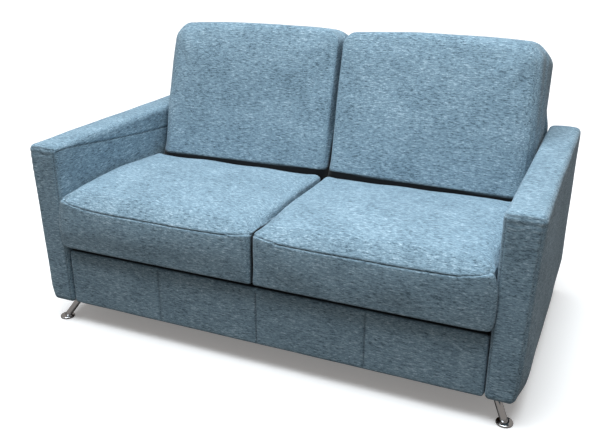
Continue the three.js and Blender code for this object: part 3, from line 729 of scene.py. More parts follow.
def line_object(paths):
    """A bare curve object with one polyline for each path."""
    curve = bpy.data.curves.new("paths", "CURVE")
    curve.dimensions = "3D"
    for path in paths:
        spline = curve.splines.new("POLY")
        spline.points.add(len(path) - 1)
        flat = np.concatenate([np.asarray(path, float), np.ones((len(path), 1))], axis=1)
        spline.points.foreach_set("co", flat.ravel())
    source = bpy.data.objects.new("paths", curve)
    bpy.context.scene.collection.objects.link(source)
    return source


STITCHES = stitch_tree(THREAD)
WIRES = wire_tree(ZINC)
SCREWS = screw_tree(ZINC)


def on_surface(piece, path, lift):
    """The path moved on to the piece's surface, and raised by lift."""
    placed = []
    for place in dense(path, 0.006):
        found, spot, normal, _ = piece.closest_point_on_mesh(Vector(place))
        placed.append(np.array(spot + normal * lift) if found else place)
    return placed


def stitch(name, piece, paths, body, lift=0.0002):
    """Rows of stitches that lie on a piece, as one piece of thread."""
    source = line_object([on_surface(piece, path, lift) for path in paths])
    sizes = {"Pitch": STITCH_PITCH, "Length": 0.75 * STITCH_PITCH, "Radius": THREAD_RADIUS}
    row = grown(name, source, STITCHES, sizes)
    mark_sides(row)
    hand_over(row, body)
    return row


# ---------------------------------------------------------------- arms and panels


def inner_arm_seam(y0, y1, top):
    """The seam on the arm's inner face: from the front's top corner, sloping down to the rear."""
    shares = [0.0, 0.075, 0.26, 0.49, 0.62, 1.0]
    drops = [14, 17, 40, 66, 78, 96]
    return [(y0 + (y1 - y0) * s, top - MM * np.interp(s, shares, drops)) for s in np.linspace(0, 0.985, 160)]


def arm(name, sign):
    """A padded arm: a front panel with a seam round it, and a top panel that wraps over the inner edge."""
    low, high = right_hand(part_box(f"{name}_arm_cover"), sign)
    inset = ARM_SEAM_INSET
    xs = spread(low[0], high[0], ARM_ROUND, ARM_ROUND, 9 * MM)
    ys = spread(low[1], high[1], ARM_ROUND, ARM_ROUND, 9 * MM)
    zs = spread(low[2], high[2], ARM_ROUND, ARM_ROUND, 12 * MM)
    fine = np.arange(high[2] - 0.11, high[2] - ARM_ROUND, 3.6 * MM)
    zs = np.unique(np.concatenate([zs[(zs < fine[0] - 2 * MM) | (zs > fine[-1] + 2 * MM)], fine]))
    points, faces = block(xs, ys, zs)
    points = round_off(points, low, high, ARM_ROUND)
    share = (points[:, 0] - low[0]) / (high[0] - low[0])
    fall = (high[2] - points[:, 2]) / (high[2] - low[2])
    behind = np.clip((points[:, 1] - low[1]) / 0.12, 0, 1)
    belly = behind**2 * (3 - 2 * behind)
    points[:, 0] -= (ARM_LEAN - ARM_BELLY * belly) * fall * share
    tuck = np.clip(1 - (points[:, 2] - low[2]) / 0.07, 0, 1)
    points[:, 0] -= ARM_TUCK * tuck**2 * share
    middle = np.sin(math.pi * np.clip(share, 0, 1))
    points[:, 2] += ARM_CROWN * middle * (points[:, 2] > high[2] - ARM_ROUND * 0.5)
    front_rise = np.sin(math.pi * np.clip(fall, 0, 1)) * middle
    points[:, 1] -= 2.5 * MM * front_rise**0.5 * (points[:, 1] < low[1] + ARM_ROUND * 0.5)
    piece = new_piece(f"{name}_arm", points, faces, UPHOLSTERY)
    soft = ripple(points, 11 + sign, 0.28, 1.0 * MM)
    inside = np.abs(points[:, 0] - low[0]) < 0.004
    soft = np.where(inside, np.minimum(soft, 0) - 0.0005, soft)
    soft = np.where(points[:, 2] < low[2] + 0.02, 0, soft)
    set_points(piece, points + normals_of(piece) * soft[:, None])

    top, x0, x1 = high[2], low[0], high[0]
    front = low[1] - 3 * MM

    def outer_edge(z):
        return x1 - inset - ARM_LEAN * (top - z) / (top - low[2])

    heights = np.linspace(low[2] + 0.006, top - inset, 200)
    inner_side = [(x0 + inset, front, z) for z in heights]
    across = [(x, front, top - inset) for x in np.linspace(x0 + inset, outer_edge(top), 30)]
    outer_side = [(outer_edge(z), front, z) for z in heights[::-1]]
    # The last number of each is the strength of the painted shade along that seam.
    for path, pucker, shade in ((inner_side, 0.3, 0.5), (across, 1.2, 0.6), (outer_side, 0.4, 0.2)):
        sew(piece, on_surface(piece, path, 0), 1.6 * MM, 2.6 * MM, pucker * MM, 0.018, 0.024, shade)
    # A soft crease across the front, with a little painted shade in it.
    wavering = np.linspace(x0 + 0.02, outer_edge(top), 20)
    crease = [(x, front, top - ARM_CREASE_DROP + 0.003 * math.sin(x * 90)) for x in wavering]
    sew(piece, on_surface(piece, crease, 0), 1.2 * MM, 5 * MM, 0, 0.01, 0.03, 0.12)
    inside_seam = [(x0, y, z) for y, z in inner_arm_seam(low[1] + ARM_ROUND * 0.6, high[1], top)]
    sew(piece, on_surface(piece, inside_seam, 0), 2.6 * MM, 3.0 * MM, 0.7 * MM, 0.02, 0.045)
    outer_seam = [(x1, y, top - ARM_ROUND) for y in np.linspace(low[1] + ARM_ROUND, high[1] - 0.02, 200)]
    sew(piece, on_surface(piece, outer_seam, 0), 1.4 * MM, 2.4 * MM, 0.4 * MM, 0.014, 0.05)
    paths = [[(x, y, z - 7 * MM) for x, y, z in inside_seam[2:]]]
    if sign < 0:
        set_points(piece, mirrored(points_of(piece)))
        paths = [[(-x, y, z) for x, y, z in path] for path in paths]
    settle(piece)
    mark_sides(piece)
    hand_over(piece, "base", [f"{name}_arm_cover"])
    stitch(f"{name}_arm_stitches", piece, paths, "base")


def front_panel():
    """A flat padded panel in four fields, with a sewn channel between them."""
    low, high = (np.array(v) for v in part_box("front_panel_cover"))
    low[0] -= 5 * MM
    high[0] += 5 * MM
    seams = np.linspace(low[0], high[0], PANEL_FIELDS + 1)[1:-1]
    xs = with_lines(spread(low[0], high[0], PANEL_ROUND, PANEL_ROUND, 12 * MM), seams, 3 * MM)
    ys = spread(low[1], high[1], PANEL_ROUND, 5 * MM, 6 * MM)
    zs = spread(low[2], high[2], PANEL_ROUND, PANEL_ROUND, 9 * MM)
    points, faces = block(xs, ys, zs)
    points = round_off(points, low, high, (PANEL_ROUND, PANEL_ROUND, PANEL_ROUND))
    front = np.clip((high[1] - points[:, 1]) / (high[1] - low[1]), 0, 1)
    field = (points[:, 0] - low[0]) / (high[0] - low[0]) * PANEL_FIELDS % 1
    rise = np.clip((points[:, 2] - low[2]) / (high[2] - low[2]), 0, 1)
    points[:, 1] -= 3.0 * MM * front * np.sin(math.pi * field) ** 0.5 * np.sin(math.pi * rise) ** 0.6
    points[:, 1] -= front * ripple(points, 5, 0.2, 0.5 * MM)
    piece = new_piece("front_panel", points, faces, UPHOLSTERY)
    # Painted shade, near black, over the top behind the front edge, where the seat cushions throw shade.
    painted_top_shade = np.clip((points[:, 1] - low[1] - 4 * MM) / (6 * MM), 0, 1) * (points[:, 2] > high[2] - 5 * MM)
    paint_shade(piece, 1.35 * painted_top_shade)
    rows = []
    for x in seams:
        path = [(x, low[1] - 0.001, z) for z in np.linspace(low[2] + 4 * MM, high[2] - 4 * MM, 60)]
        sew(piece, path, 3.0 * MM, 2.6 * MM, 0.5 * MM, 0.02, 0.03, 0.7)
        rows += [[(x + way * 4 * MM, low[1] - 0.002, z) for _, _, z in path[2:-2]] for way in (-1, 1)]
    settle(piece)
    mark_sides(piece)
    hand_over(piece, "base", ["front_panel_cover"])
    stitch("front_panel_stitches", piece, rows, "base")


def rear_panel():
    """A padded panel with sloping shoulders above the arms."""
    low, high = (np.array(v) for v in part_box("rear_panel_cover"))
    arm_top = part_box("left_arm_cover")[1][2]
    shoulder = 34 * MM
    corner = 62 * MM
    xs = with_lines(spread(low[0], high[0], corner, corner, 14 * MM), [0.0], 3 * MM)
    ys = spread(low[1], high[1], 10 * MM, 12 * MM, 8 * MM)
    zs = spread(low[2], high[2], 12 * MM, corner, 14 * MM)
    points, faces = block(xs, ys, zs)
    rise = np.clip((points[:, 2] - low[2]) / (high[2] - low[2]), 0, 1)
    radii = np.stack([12 * MM + (corner - 12 * MM) * rise**3, np.full(len(points), 10 * MM),
                      12 * MM + (corner - 12 * MM) * rise**3], axis=1)
    points = round_off(points, low, high, radii)
    above = np.clip((points[:, 2] - arm_top) / (high[2] - arm_top), 0, 1)
    points[:, 0] *= 1 - shoulder / high[0] * above**0.8
    back = np.clip((points[:, 1] - low[1]) / (high[1] - low[1]), 0, 1)
    width = np.clip(1 - (points[:, 0] / high[0]) ** 2, 0, 1)
    rise = np.clip((points[:, 2] - low[2]) / (high[2] - low[2]), 0, 1)
    points[:, 1] += 4 * MM * back * width * np.sin(math.pi * rise) ** 0.7
    points[:, 1] += back * ripple(points, 8, 0.3, 0.8 * MM)
    piece = new_piece("rear_panel", points, faces, UPHOLSTERY)
    middle = [(0, high[1] + 3 * MM, z) for z in np.linspace(low[2] + 8 * MM, high[2] - 8 * MM, 200)]
    sew(piece, middle, 3.2 * MM, 2.8 * MM, 0.5 * MM, 0.025, 0.04)
    settle(piece)
    mark_sides(piece)
    hand_over(piece, "base", ["rear_panel_cover"])
    rows = [[(way * 4 * MM, high[1] + 4 * MM, z) for _, _, z in middle[4:-4]] for way in (-1, 1)]
    stitch("rear_panel_stitches", piece, rows, "base")


# ---------------------------------------------------------------- cushions


def seat_crown(u, v):
    """How far a seat cushion's top rises: more in the middle and along the arm, none at front and rear."""
    along = np.sin(math.pi * np.clip(v, 0, 1) ** 0.8) ** 0.7
    return MM * along * (12 + 12 * u + 12 * np.sin(math.pi * np.clip(u, 0, 1)))


def seam_rise(u):
    """How far the front seam rises towards the cushion's two front corners."""
    return MM * (16 * np.clip(u, 0, 1) ** 9 + 11 * np.clip(1 - u, 0, 1) ** 9)


def seat_cushion(name, sign):
    """A crowned box cushion: its top panel rolls over the front edge to a seam."""
    low, high = right_hand(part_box(f"seat_cushion_{name}"), sign)
    high[2] -= SEAT_EDGE_DROP
    seam_z = high[2] - SEAT_SEAM_DROP
    xs = spread(low[0], high[0], SEAT_ROUND, SEAT_ROUND, 9 * MM)
    ys = spread(low[1], high[1], SEAT_FRONT_ROUND, 14 * MM, 10 * MM)
    zs = with_lines(spread(low[2], high[2], SEAT_FOOT_ROUND, SEAT_FRONT_ROUND, 9 * MM), [seam_z], 2.5 * MM)
    points, faces = block(xs, ys, zs)
    u = (points[:, 0] - low[0]) / (high[0] - low[0])
    v = (points[:, 1] - low[1]) / (high[1] - low[1])
    w = (points[:, 2] - low[2]) / (high[2] - low[2])
    near_seam = np.exp(-(((points[:, 2] - seam_z) / 0.03) ** 2)) * (points[:, 2] < high[2] - MM)
    points[:, 2] += seam_rise(u) * near_seam * np.clip(1 - 4 * v, 0, 1)
    up = np.clip((w - 0.3) / 0.7, 0, 1) ** 1.5
    sides = SEAT_FOOT_ROUND + (SEAT_ROUND - SEAT_FOOT_ROUND) * np.clip(w / 0.5, 0, 1)
    fronts = SEAT_FOOT_ROUND + (SEAT_FRONT_ROUND * np.clip(1 - v, 0.35, 1) - SEAT_FOOT_ROUND) * up
    plan = np.maximum(fronts, np.minimum(sides, 18 * MM))
    tops = SEAT_FOOT_ROUND + (30 * MM * np.clip(1 - v, 0.4, 1) - SEAT_FOOT_ROUND) * up
    points = round_off(points, low, high, np.stack([sides, plan, tops], axis=1))
    points[:, 2] += seat_crown(u, v) * up
    belly = np.sin(math.pi * (0.12 + 0.76 * w)) * np.sin(math.pi * (0.04 + 0.92 * np.clip(u, 0, 1))) ** 0.3
    points[:, 1] -= 9 * MM * belly * np.clip(1 - 3 * v, 0, 1)
    piece = new_piece(f"seat_cushion_{name}_padded", points, faces, UPHOLSTERY)
    line_z = seam_z + seam_rise(u)
    on_front = (v < 0.12) & (np.abs(points[:, 2] - line_z) < 3 * MM)
    foot = (w < 0.03) | ((w < 0.16) & (v < 0.2))
    puff(piece, on_front | foot, 3.2, 7 * MM)
    low_limit = low + np.array([0.3 * MM, -14 * MM, 0])
    high_limit = high + np.array([2 * MM, 6 * MM, 40 * MM])
    keep_inside(piece, low_limit, high_limit)
    refine(piece)
    now = points_of(piece)
    uneven = ripple(now, 30 + sign, 0.24, 1.4 * MM) * np.clip((now[:, 2] - low[2] - 0.02) / 0.05, 0, 1)
    set_points(piece, now + normals_of(piece) * uneven[:, None])

    seam = []
    for t in np.linspace(0.004, 0.975, 200):
        corner = abs(2 * t - 1) ** 16
        seam.append((low[0] + (high[0] - low[0]) * t, low[1] + 22 * MM * corner, seam_z + seam_rise(t)))
    sew(piece, on_surface(piece, seam, 0.0), 3.4 * MM, 2.6 * MM, 0.9 * MM, 0.02, 0.034, 0.62)
    keep_inside(piece, low_limit, high_limit)
    now = points_of(piece)
    arm_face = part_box(f"{name}_arm_cover")[0][1]
    ahead = np.clip((arm_face - 4.5 * MM - now[:, 1]) / (6 * MM), 0, 1)
    near_arm = np.clip((now[:, 0] - high[0] + 0.06) / 0.06, 0, 1)
    lift = np.clip((now[:, 2] - low[2]) / (high[2] - low[2]), 0, 1)
    full = np.sin(math.pi * (0.05 + 0.92 * lift)) ** 0.6
    now[:, 0] += SEAT_LIP * ahead * (2 - ahead) * near_arm**2 * full
    now[:, 1] += 5 * MM * ahead * near_arm**3
    forward = np.clip(1 - (now[:, 1] - low[1]) / 0.12, 0, 1)
    now[:, 2] += SEAT_CORNER_RISE * near_arm * forward * lift**3
    set_points(piece, now)
    # Painted shade along the inner side, where the two cushions meet, and along the rear, where the back
    # cushion meets the seat.
    beside = 1 - (now[:, 0] - low[0]) / (4 * MM)
    behind = (now[:, 1] - high[1] + 17 * MM) / (12 * MM)
    paint_shade(piece, PAINTED_CONTACT_SHADE * np.clip(np.maximum(beside, behind), 0, 1))
    rows = [[(x, y - 2 * MM, z + 6 * MM) for x, y, z in seam[6:-6]]]
    if sign < 0:
        set_points(piece, mirrored(points_of(piece)))
        rows = [[(-x, y, z) for x, y, z in row] for row in rows]
    settle(piece)
    mark_sides(piece)
    hand_over(piece, "seat_section", [f"seat_cushion_{name}"])
    stitch(f"seat_stitches_{name}", piece, rows, "seat_section")


def back_axis():
    """The back section's own frame: its origin on the hinge, z up the back, y towards the mattress."""
    joint = next(j for j in frame["joints"] if j["name"] == "back_fold")
    return Matrix.Translation(Vector(joint["pos_m"])) @ Matrix.Rotation(-BACK_TILT, 4, "X")


def in_back_frame(node):
    """A node's box in the back section's own frame."""
    to_own = np.array(back_axis().inverted())
    points = points_of(frame["nodes"][node]) @ to_own[:3, :3].T + to_own[:3, 3]
    return points.min(0), points.max(0)


def rounded_outline(plane, low, high, inner_corner, outer_corner):
    """Moves points of a rectangle into one with round top corners: their new place, depth and way out."""
    middle = (low[0] + high[0]) / 2
    top = plane[:, 1] > (low[1] + high[1]) / 2
    radius = np.where(plane[:, 0] > middle, outer_corner, inner_corner)
    radius = np.where(top, radius, BACK_SPLIT_ROUND)[:, None]
    centre = np.clip(plane, low + radius, high - radius)
    share = (plane - centre) / radius
    mapped = share * np.sqrt(1 - share[:, ::-1] ** 2 / 2)
    size = np.linalg.norm(mapped, axis=1)
    depth = radius[:, 0] * (1 - size)
    deep = size < 1e-6
    edges = np.stack([plane - low, high - plane]).min(axis=(0, 2))
    depth[deep] = np.maximum(edges, radius[:, 0])[deep]
    out = mapped / np.maximum(size, 1e-9)[:, None]
    return centre + radius * mapped, depth, out


def back_cushion(name, sign):
    """A tall cushion with round top corners, and a hood that wraps over the back frame and its mattress."""
    low, high = right_hand(in_back_frame(f"back_cushion_{name}"), sign)
    _, frame_high = in_back_frame("back_frame")
    pocket_n = -FRAME_TUBE / 2 - HOOD_GAP
    pocket_s = frame_high[2] + 6 * MM
    pocket_x = high[0] - HOOD_WALL
    xs = spread(low[0], high[0], BACK_SPLIT_CORNER, BACK_CORNER, 11 * MM)
    xs = with_step(xs, pocket_x)
    ys = spread(low[1], high[1], BACK_OUTER_ROUND, HOOD_ROUND, 12 * MM)
    ys = np.unique(np.concatenate([ys[np.abs(ys - pocket_n) > 2 * MM], [pocket_n]]))
    zs = spread(low[2], high[2], BACK_SPLIT_ROUND, BACK_CORNER, 11 * MM)
    zs = with_step(zs, pocket_s)
    points, faces = block(xs, ys, zs)
    plain = points.copy()
    flat, depth, out = rounded_outline(points[:, ::2], low[::2], high[::2], BACK_SPLIT_CORNER, BACK_CORNER)
    u = (plain[:, 0] - low[0]) / (high[0] - low[0])
    w = (plain[:, 2] - low[2]) / (high[2] - low[2])
    in_front = plain[:, 1] < (low[1] + high[1]) / 2
    edge = np.where(in_front, BACK_SPLIT_ROUND + (BACK_OUTER_ROUND - BACK_SPLIT_ROUND) * u, HOOD_ROUND)
    from_end = np.where(in_front, plain[:, 1] - low[1], high[1] - plain[:, 1])
    side = np.clip(edge - depth, 0, None)
    end = np.clip(edge - from_end, 0, None)
    size = np.maximum(np.hypot(side, end), 1e-9)
    rounded = (side > 0) & (end > 0)
    inwards = np.where(rounded, side - edge * side / size, 0)
    points[:, ::2] = flat - out * inwards[:, None]
    shift = np.where(rounded, end - edge * end / size, 0)
    points[:, 1] += np.where(in_front, shift, -shift)
    forward = np.clip((high[1] - plain[:, 1]) / (high[1] - low[1]), 0, 1)
    swell = np.sin(math.pi * (0.1 + 0.8 * w)) * np.sin(math.pi * (0.08 + 0.84 * np.clip(u, 0, 1))) ** 0.5
    points[:, 1] += forward**1.5 * (BACK_LEAN * w - 9 * MM * swell)
    rear = np.clip((points[:, 1] + 0.06) / (high[1] + 0.06), 0, 1)
    points[:, 2] -= 20 * MM * rear**2 * w**4
    points[:, 2] += 10 * MM * np.sin(math.pi * np.clip(u, 0, 1)) * w**6
    narrowing = np.clip((w - 0.35) / 0.65, 0, 1)
    points[:, 0] -= BACK_TAPER * narrowing**2 * u * forward
    in_pocket = (plain[:, 0] < pocket_x) & (plain[:, 2] < pocket_s)
    points[in_pocket, 1] = np.minimum(points[in_pocket, 1], pocket_n)
    piece = new_piece(f"back_cushion_{name}_padded", points, faces, UPHOLSTERY)
    settle(piece)
    now = points_of(piece)
    held = (now[:, 1] > pocket_n - 10 * MM) | (now[:, 2] < low[2] + 12 * MM)
    puff(piece, held, 3.0, 7 * MM)
    low_limit = low + np.array([0.3 * MM, -12 * MM, 0])
    high_limit = high + np.array([1 * MM, 0, 8 * MM])
    keep_inside(piece, low_limit, high_limit)
    refine(piece)
    now = points_of(piece)
    free = np.clip((pocket_n - now[:, 1]) / 0.03, 0, 1) + (now[:, 2] > pocket_s + 0.01)
    uneven = ripple(now, 40 + sign, 0.26, 1.5 * MM) * np.clip(free, 0, 1)
    set_points(piece, now + normals_of(piece) * uneven[:, None])
    rises = np.linspace(low[2] + 0.03, high[2] - 0.09, 150)
    side_seam = [(high[0] + 1 * MM, -20 * MM, z) for z in rises]
    sew(piece, on_surface(piece, side_seam, 0.0), 2.2 * MM, 4 * MM, 0.5 * MM, 0.018, 0.04, 0.6)
    keep_inside(piece, low_limit, high_limit)
    now = points_of(piece)
    # Painted shade along the inner side, where the two back cushions meet.
    beside = np.clip(1 - (now[:, 0] - low[0]) / (4 * MM), 0, 1)
    paint_shade(piece, PAINTED_CONTACT_SHADE * beside * (now[:, 1] < pocket_n - 10 * MM))
    if sign < 0:
        set_points(piece, mirrored(points_of(piece)))
    settle(piece, back_axis())
    now = points_of(piece)
    # Painted shade, near black, over all of the cushion below the seat's top, where the seat cushions shade
    # it.
    seat_top = SEAT_REAR_TOP + SEAT_REAR_SLOPE * (1 - np.abs(now[:, 0]) / high[0])
    paint_shade(piece, PAINTED_CONTACT_SHADE * np.clip(1.2 - (now[:, 2] - seat_top) / (5 * MM), 0, 1))
    mark_sides(piece)
    hand_over(piece, "back_section", [f"back_cushion_{name}"])


# ---------------------------------------------------------------- mattress


def quilting(points, low, high, top):
    """How far a quilted top is drawn down: channels between square fields, none near the border."""
    pitch = 0.112
    depth = np.zeros(len(points))
    for axis in (0, 1):
        middle = (low[axis] + high[axis]) / 2
        phase = (points[:, axis] - middle) / pitch
        off = np.abs(phase - np.round(phase)) * pitch
        depth = np.maximum(depth, 4.5 * MM * np.exp(-((off / 0.011) ** 2)))
    near = np.minimum(points[:, :2] - low[:2], high[:2] - points[:, :2]).min(axis=1)
    return depth * np.clip(near / 0.03, 0, 1) * (np.abs(points[:, 2] - top) < 3 * MM)


def mattress(node, turn, body, own_box):
    """One section of the folding mattress, quilted on its sleeping side, with a taped border."""
    low, high = own_box
    xs = spread(low[0], high[0], 16 * MM, 16 * MM, 13 * MM)
    ys = spread(low[1], high[1], 16 * MM, 16 * MM, 13 * MM)
    zs = spread(low[2], high[2], 14 * MM, 14 * MM, 8 * MM)
    points, faces = block(xs, ys, zs)
    points = round_off(points, low, high, (14 * MM, 14 * MM, 13 * MM))
    points[:, 2] -= quilting(points, low, high, high[2])
    piece = new_piece(f"{node}_quilted", points, faces, TICKING)
    piece.data.materials.append(BORDER)
    # Upright faces take the near-black border, which also stands in for the shade in the gap under the seat
    # cushions.
    upright = np.array([abs(face.normal.z) < 0.6 for face in piece.data.polygons], np.int32)
    piece.data.polygons.foreach_set("material_index", upright)
    for z in (low[2] + 12 * MM, high[2] - 12 * MM):
        ring = [
            (low[0], low[1] + 0.01, z), (low[0], high[1] - 0.01, z), (high[0], high[1] - 0.01, z),
            (high[0], low[1] + 0.01, z), (low[0], low[1] + 0.01, z),
        ]
        sew(piece, ring, 2.0 * MM, 3.5 * MM)
    settle(piece, turn)
    mark_sides(piece)
    hand_over(piece, body, [node])


def mattresses():
    """The head section lies face up, the seat section face down, and the back section faces rearwards."""
    face_down = Matrix.Rotation(math.pi, 4, "Y")
    low, high = (np.array(v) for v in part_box("head_mattress"))
    mattress("head_mattress", Matrix.Identity(4), "head_section", (low, high))
    low, high = (np.array(v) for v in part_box("seat_mattress"))
    turned = np.array([-high[0], low[1], -high[2]]), np.array([-low[0], high[1], -low[2]])
    mattress("seat_mattress", face_down, "seat_section", turned)
    low, high = in_back_frame("back_mattress")
    standing = back_axis() @ Matrix.Rotation(-math.pi / 2, 4, "X")
    turned = np.array([low[0], -high[2], low[1]]), np.array([high[0], -low[2], high[1]])
    mattress("back_mattress", standing, "back_section", turned)


# ---------------------------------------------------------------- metal pieces


def wire_grid(node, body, own_box, flat_axes, turn):
    """A welded wire mesh on a bed frame, in place of its thin sheet."""
    low, high = own_box
    a, b = flat_axes
    counts = [max(2, round((high[k] - low[k]) / WIRE_PITCH)) for k in flat_axes]
    rows = [np.linspace(low[k] + 2 * MM, high[k] - 2 * MM, n + 1) for k, n in zip(flat_axes, counts)]
    normal_axis = 3 - a - b
    level = (low[normal_axis] + high[normal_axis]) / 2
    paths = []
    for place in rows[0]:
        ends = np.zeros((2, 3))
        ends[:, a], ends[:, b], ends[:, normal_axis] = place, [rows[1][0], rows[1][-1]], level - 0.4 * MM
        paths.append(ends)
    for place in rows[1]:
        ends = np.zeros((2, 3))
        ends[:, b], ends[:, a], ends[:, normal_axis] = place, [rows[0][0], rows[0][-1]], level + 0.4 * MM
        paths.append(ends)
    mesh = bpy.data.meshes.new("wire_lines")
    ends = np.concatenate(paths)
    mesh.from_pydata(ends.tolist(), [(i, i + 1) for i in range(0, len(ends), 2)], [])
    source = bpy.data.objects.new("wire_lines", mesh)
    bpy.context.scene.collection.objects.link(source)
    piece = grown(f"{node}_wires", source, WIRES, {"Radius": 1.0 * MM})
    piece.data.transform(turn)
    hand_over(piece, body, [node])


def lathe(name, profile, centre, material, steps=48):
    """A closed round piece from an outline that starts and ends on its axis."""
    points = []
    faces = []
    ring = len(profile) - 2
    for i in range(steps):
        angle = 2 * math.pi * i / steps
        for radius, height in profile[1:-1]:
            points.append((radius * math.cos(angle), radius * math.sin(angle), height))
    foot, crown = len(points), len(points) + 1
    points += [(0, 0, profile[0][1]), (0, 0, profile[-1][1])]
    for i in range(steps):
        here, there = i * ring, (i + 1) % steps * ring
        faces.append((foot, there, here))
        for k in range(ring - 1):
            faces.append((here + k, there + k, there + k + 1, here + k + 1))
        faces.append((here + ring - 1, there + ring - 1, crown))
    piece = new_piece(name, np.array(points) + np.array(centre), [list(f) for f in faces], material)
    return settle(piece)


def arc(centre, radius, start, end, steps=5):
    """Points on a round corner, in degrees."""
    angles = np.radians(np.linspace(start, end, steps))
    return [(centre[0] + radius * math.cos(a), centre[1] + radius * math.sin(a)) for a in angles]


def foot(place, name):
    """A turned disc with a soft rim and a small boss, under a slanted chrome tube on a screwed plate."""
    disc_low, disc_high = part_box(f"{place}_foot_disc_{name}")
    x, y = ((disc_low + disc_high) / 2)[:2]
    radius = (disc_high[0] - disc_low[0]) / 2
    height = disc_high[2]
    profile = [(0, 0), (radius - 3 * MM, 0)]
    profile += arc((radius - 2.5 * MM, 2.5 * MM), 2.5 * MM, -80, 0)
    profile += arc((radius - 3 * MM, height - 4.5 * MM), 3 * MM, 0, 75)
    profile += [(radius * 0.62, height - 0.8 * MM), (radius * 0.55, height)]
    profile += [(radius * 0.5, height), (0, height)]
    disc = lathe(f"{place}_foot_disc_{name}_turned", profile, (x, y, 0), CHROME)
    hand_over(disc, "base", [f"{place}_foot_disc_{name}"])

    tube_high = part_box(f"{place}_foot_tube_{name}")[1]
    way_x = math.copysign(1, x)
    way_y = math.copysign(1, y)
    plate_bottom = tube_high[2] - FOOT_PLATE_THICKNESS
    top = np.array([x - way_x * FOOT_LEAN, y - way_y * FOOT_LEAN, plate_bottom])
    bottom = np.array([x, y, height * 0.5])
    direction = top - bottom
    length = np.linalg.norm(direction)
    direction /= length
    across = np.cross(direction, (0, 0, 1.0))
    across /= np.linalg.norm(across)
    up = np.cross(across, direction)
    steps = 32
    stations = [(0, 0.2), (0, 1), (0.12, 1), (0.5, 1), (0.88, 1), (0.96, 1.0), (1.0, 1.25), (1.0, 0.2)]
    points, faces = [], []
    for share, scale in stations:
        for i in range(steps):
            angle = 2 * math.pi * i / steps
            outwards = across * math.cos(angle) + up * math.sin(angle)
            place_on = bottom + direction * length * share
            place_on = place_on + FOOT_TUBE_RADIUS * scale * outwards
            place_on[2] = np.clip(place_on[2], height - 0.5 * MM, tube_high[2] - 1 * MM)
            points.append(place_on)
    for k in range(len(stations) - 1):
        for i in range(steps):
            j = (i + 1) % steps
            faces.append([k * steps + i, k * steps + j, (k + 1) * steps + j, (k + 1) * steps + i])
    faces.append(list(range(steps))[::-1])
    faces.append([(len(stations) - 1) * steps + i for i in range(steps)])
    tube = new_piece(f"{place}_foot_tube_{name}_chromed", np.array(points), faces, CHROME)
    settle(tube)
    hand_over(tube, "base", [f"{place}_foot_tube_{name}"])

    plate_low = top - np.array([FOOT_PLATE_HALF, FOOT_PLATE_HALF, 0])
    plate_high = top + np.array([FOOT_PLATE_HALF, FOOT_PLATE_HALF, FOOT_PLATE_THICKNESS])
    rounds = (6 * MM, 6 * MM, 1 * MM)
    edges = [spread(*ends, r, r, 8 * MM) for *ends, r in zip(plate_low, plate_high, rounds)]
    points, faces = block(*edges)
    points = round_off(points, plate_low, plate_high, rounds)
    plate_piece = settle(new_piece(f"{place}_foot_plate_{name}", points, faces, CHROME))
    hand_over(plate_piece, "base")
    signs = [(a, b) for a in (-1, 1) for b in (-1, 1)]
    corners = [(top[0] + a * FOOT_SCREW_OUT, top[1] + b * FOOT_SCREW_OUT, plate_low[2]) for a, b in signs]
    screws = screw_heads(f"{place}_foot_screws_{name}", corners, (0, 0, -1), 4 * MM, 2.4 * MM)
    hand_over(screws, "base")


def screw_heads(name, places, normal, radius, height):
    """Screw heads at the places, facing along the normal: each place is a tiny face that points that way."""
    normal = Vector(normal)
    side = normal.orthogonal().normalized()
    other = normal.cross(side)
    size = 0.00001
    points, faces = [], []
    for place in places:
        centre = Vector(place)
        start = len(points)
        points += [centre + side * size, centre + other * size, centre - side * size, centre - other * size]
        faces.append([start, start + 1, start + 2, start + 3])
    mesh = bpy.data.meshes.new("screw_places")
    mesh.from_pydata([tuple(p) for p in points], [], faces)
    work = bmesh.new()
    work.from_mesh(mesh)
    bmesh.ops.remove_doubles(work, verts=work.verts, dist=1e-7)
    work.to_mesh(mesh)
    work.free()
    source = bpy.data.objects.new("screw_places", mesh)
    bpy.context.scene.collection.objects.link(source)
    piece = grown(name, source, SCREWS, {"Radius": radius, "Height": height})
    made = piece.data
    work = bmesh.new()
    work.from_mesh(made)
    bmesh.ops.remove_doubles(work, verts=work.verts, dist=0.00005)
    bmesh.ops.dissolve_degenerate(work, edges=work.edges, dist=0.00001)
    work.to_mesh(made)
    work.free()
    made.polygons.foreach_set("use_smooth", np.zeros(len(made.polygons), bool))
    return piece


NODE_FINISHES = {
    TIMBER: ["left_arm_frame", "right_arm_frame", "rear_panel_frame"],
    BOARD: ["front_panel_board", "base_board"],
    BLACK_STEEL: [
        "front_beam", "rear_beam", "side_plate_left", "side_plate_right", "head_frame", "seat_frame",
        "back_frame", "bed_leg_left", "bed_leg_right", "front_bolt_left", "front_bolt_right",
        "rear_bolt_left", "rear_bolt_right",
    ],
    ZINC: [
        "front_crank_left", "front_crank_right", "rear_crank_left", "rear_crank_right",
        "front_hinge_pin_left", "front_hinge_pin_right", "rear_hinge_pin_left", "rear_hinge_pin_right",
    ],
    RUBBER: ["bed_leg_pad_left", "bed_leg_pad_right"],
}


def finish_nodes():
    for material, names in NODE_FINISHES.items():
        for name in names:
            node = frame["nodes"][name]
            node.data.materials.clear()
            node.data.materials.append(material)


# ---------------------------------------------------------------- camera, floor and light


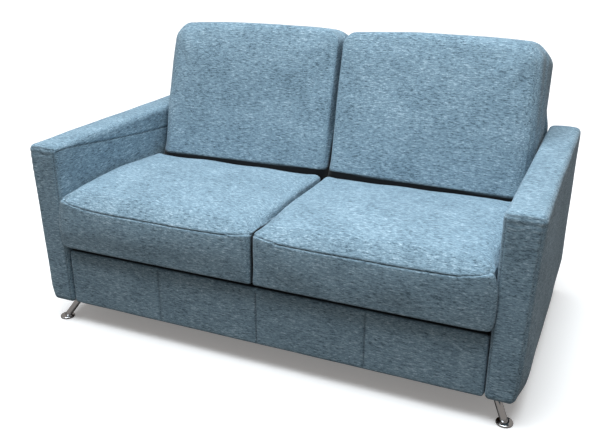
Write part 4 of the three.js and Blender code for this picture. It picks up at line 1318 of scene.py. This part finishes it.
def add_camera():
    """A standing person's view, from the right of the sofa's middle."""
    azimuth = math.radians(-23.75)
    elevation = math.radians(21.87)
    data = bpy.data.cameras.new("camera")
    data.sensor_width = 36.0
    data.lens = 45.05
    camera = bpy.data.objects.new("camera", data)
    camera.location = (0.951, -2.284, 1.316)
    camera.rotation_euler = (math.pi / 2 - elevation, 0, -azimuth)
    bpy.context.scene.collection.objects.link(camera)
    bpy.context.scene.camera = camera


def add_floor():
    """A pale floor that looks white, but throws back less light than it shows."""
    size = 30.0
    corners = [(-size, -size, 0), (size, -size, 0), (size, size, 0), (-size, size, 0)]
    material, tree, shader = new_material("pale_floor")
    path = add(tree, "ShaderNodeLightPath")
    seen = path.outputs["Is Camera Ray"]
    feed(tree, shader, {
        "Base Color": blend_colours(tree, seen, (0.17, 0.155, 0.145, 1), (0.97, 0.97, 0.97, 1)),
        "Roughness": 0.9,
        "Specular IOR Level": 0.1,
        "Emission Color": (1, 1, 1, 1),
        "Emission Strength": maths(tree, "MULTIPLY", seen, 0.2),
    })
    new_piece("floor", np.array(corners), [[0, 1, 2, 3]], material)


def add_area_light(name, place, target, size, power, colour=(1, 1, 1)):
    data = bpy.data.lights.new(name, "AREA")
    data.shape = "RECTANGLE"
    data.size, data.size_y = size
    data.energy = power
    data.color = colour
    light = bpy.data.objects.new(name, data)
    light.location = place
    light.rotation_euler = (Vector(target) - Vector(place)).to_track_quat("-Z", "Y").to_euler()
    bpy.context.scene.collection.objects.link(light)


def add_lights():
    world = bpy.data.worlds.new("studio")
    world.use_nodes = True
    world.node_tree.nodes["Background"].inputs["Color"].default_value = (1, 0.92, 0.86, 1)
    world.node_tree.nodes["Background"].inputs["Strength"].default_value = 0.25
    bpy.context.scene.world = world
    data = bpy.data.lights.new("skylight", "SUN")
    data.energy = 2.5
    data.angle = math.radians(45)
    data.color = (0.95, 1, 1.04)
    light = bpy.data.objects.new("skylight", data)
    light.rotation_euler = (math.radians(6), math.radians(-4), 0)
    bpy.context.scene.collection.objects.link(light)
    add_area_light("softbox", (0.1, -0.66, 2.5), (0.05, -0.4, 0.5), (2.2, 1.3), 37, (0.93, 1, 1.04))
    bpy.context.scene.view_settings.view_transform = "Standard"


# ---------------------------------------------------------------- the sofa bed


add_camera()
add_floor()
add_lights()
finish_nodes()
for side_name, side_sign in SIDES:
    arm(side_name, side_sign)
    seat_cushion(side_name, side_sign)
    back_cushion(side_name, side_sign)
    foot("front", side_name)
    foot("rear", side_name)
front_panel()
rear_panel()
mattresses()
wire_grid("head_mesh", "head_section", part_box("head_mesh"), (0, 1), Matrix.Identity(4))
wire_grid("seat_mesh", "seat_section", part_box("seat_mesh"), (0, 1), Matrix.Identity(4))
wire_grid("back_mesh", "back_section", in_back_frame("back_mesh"), (0, 2), back_axis())
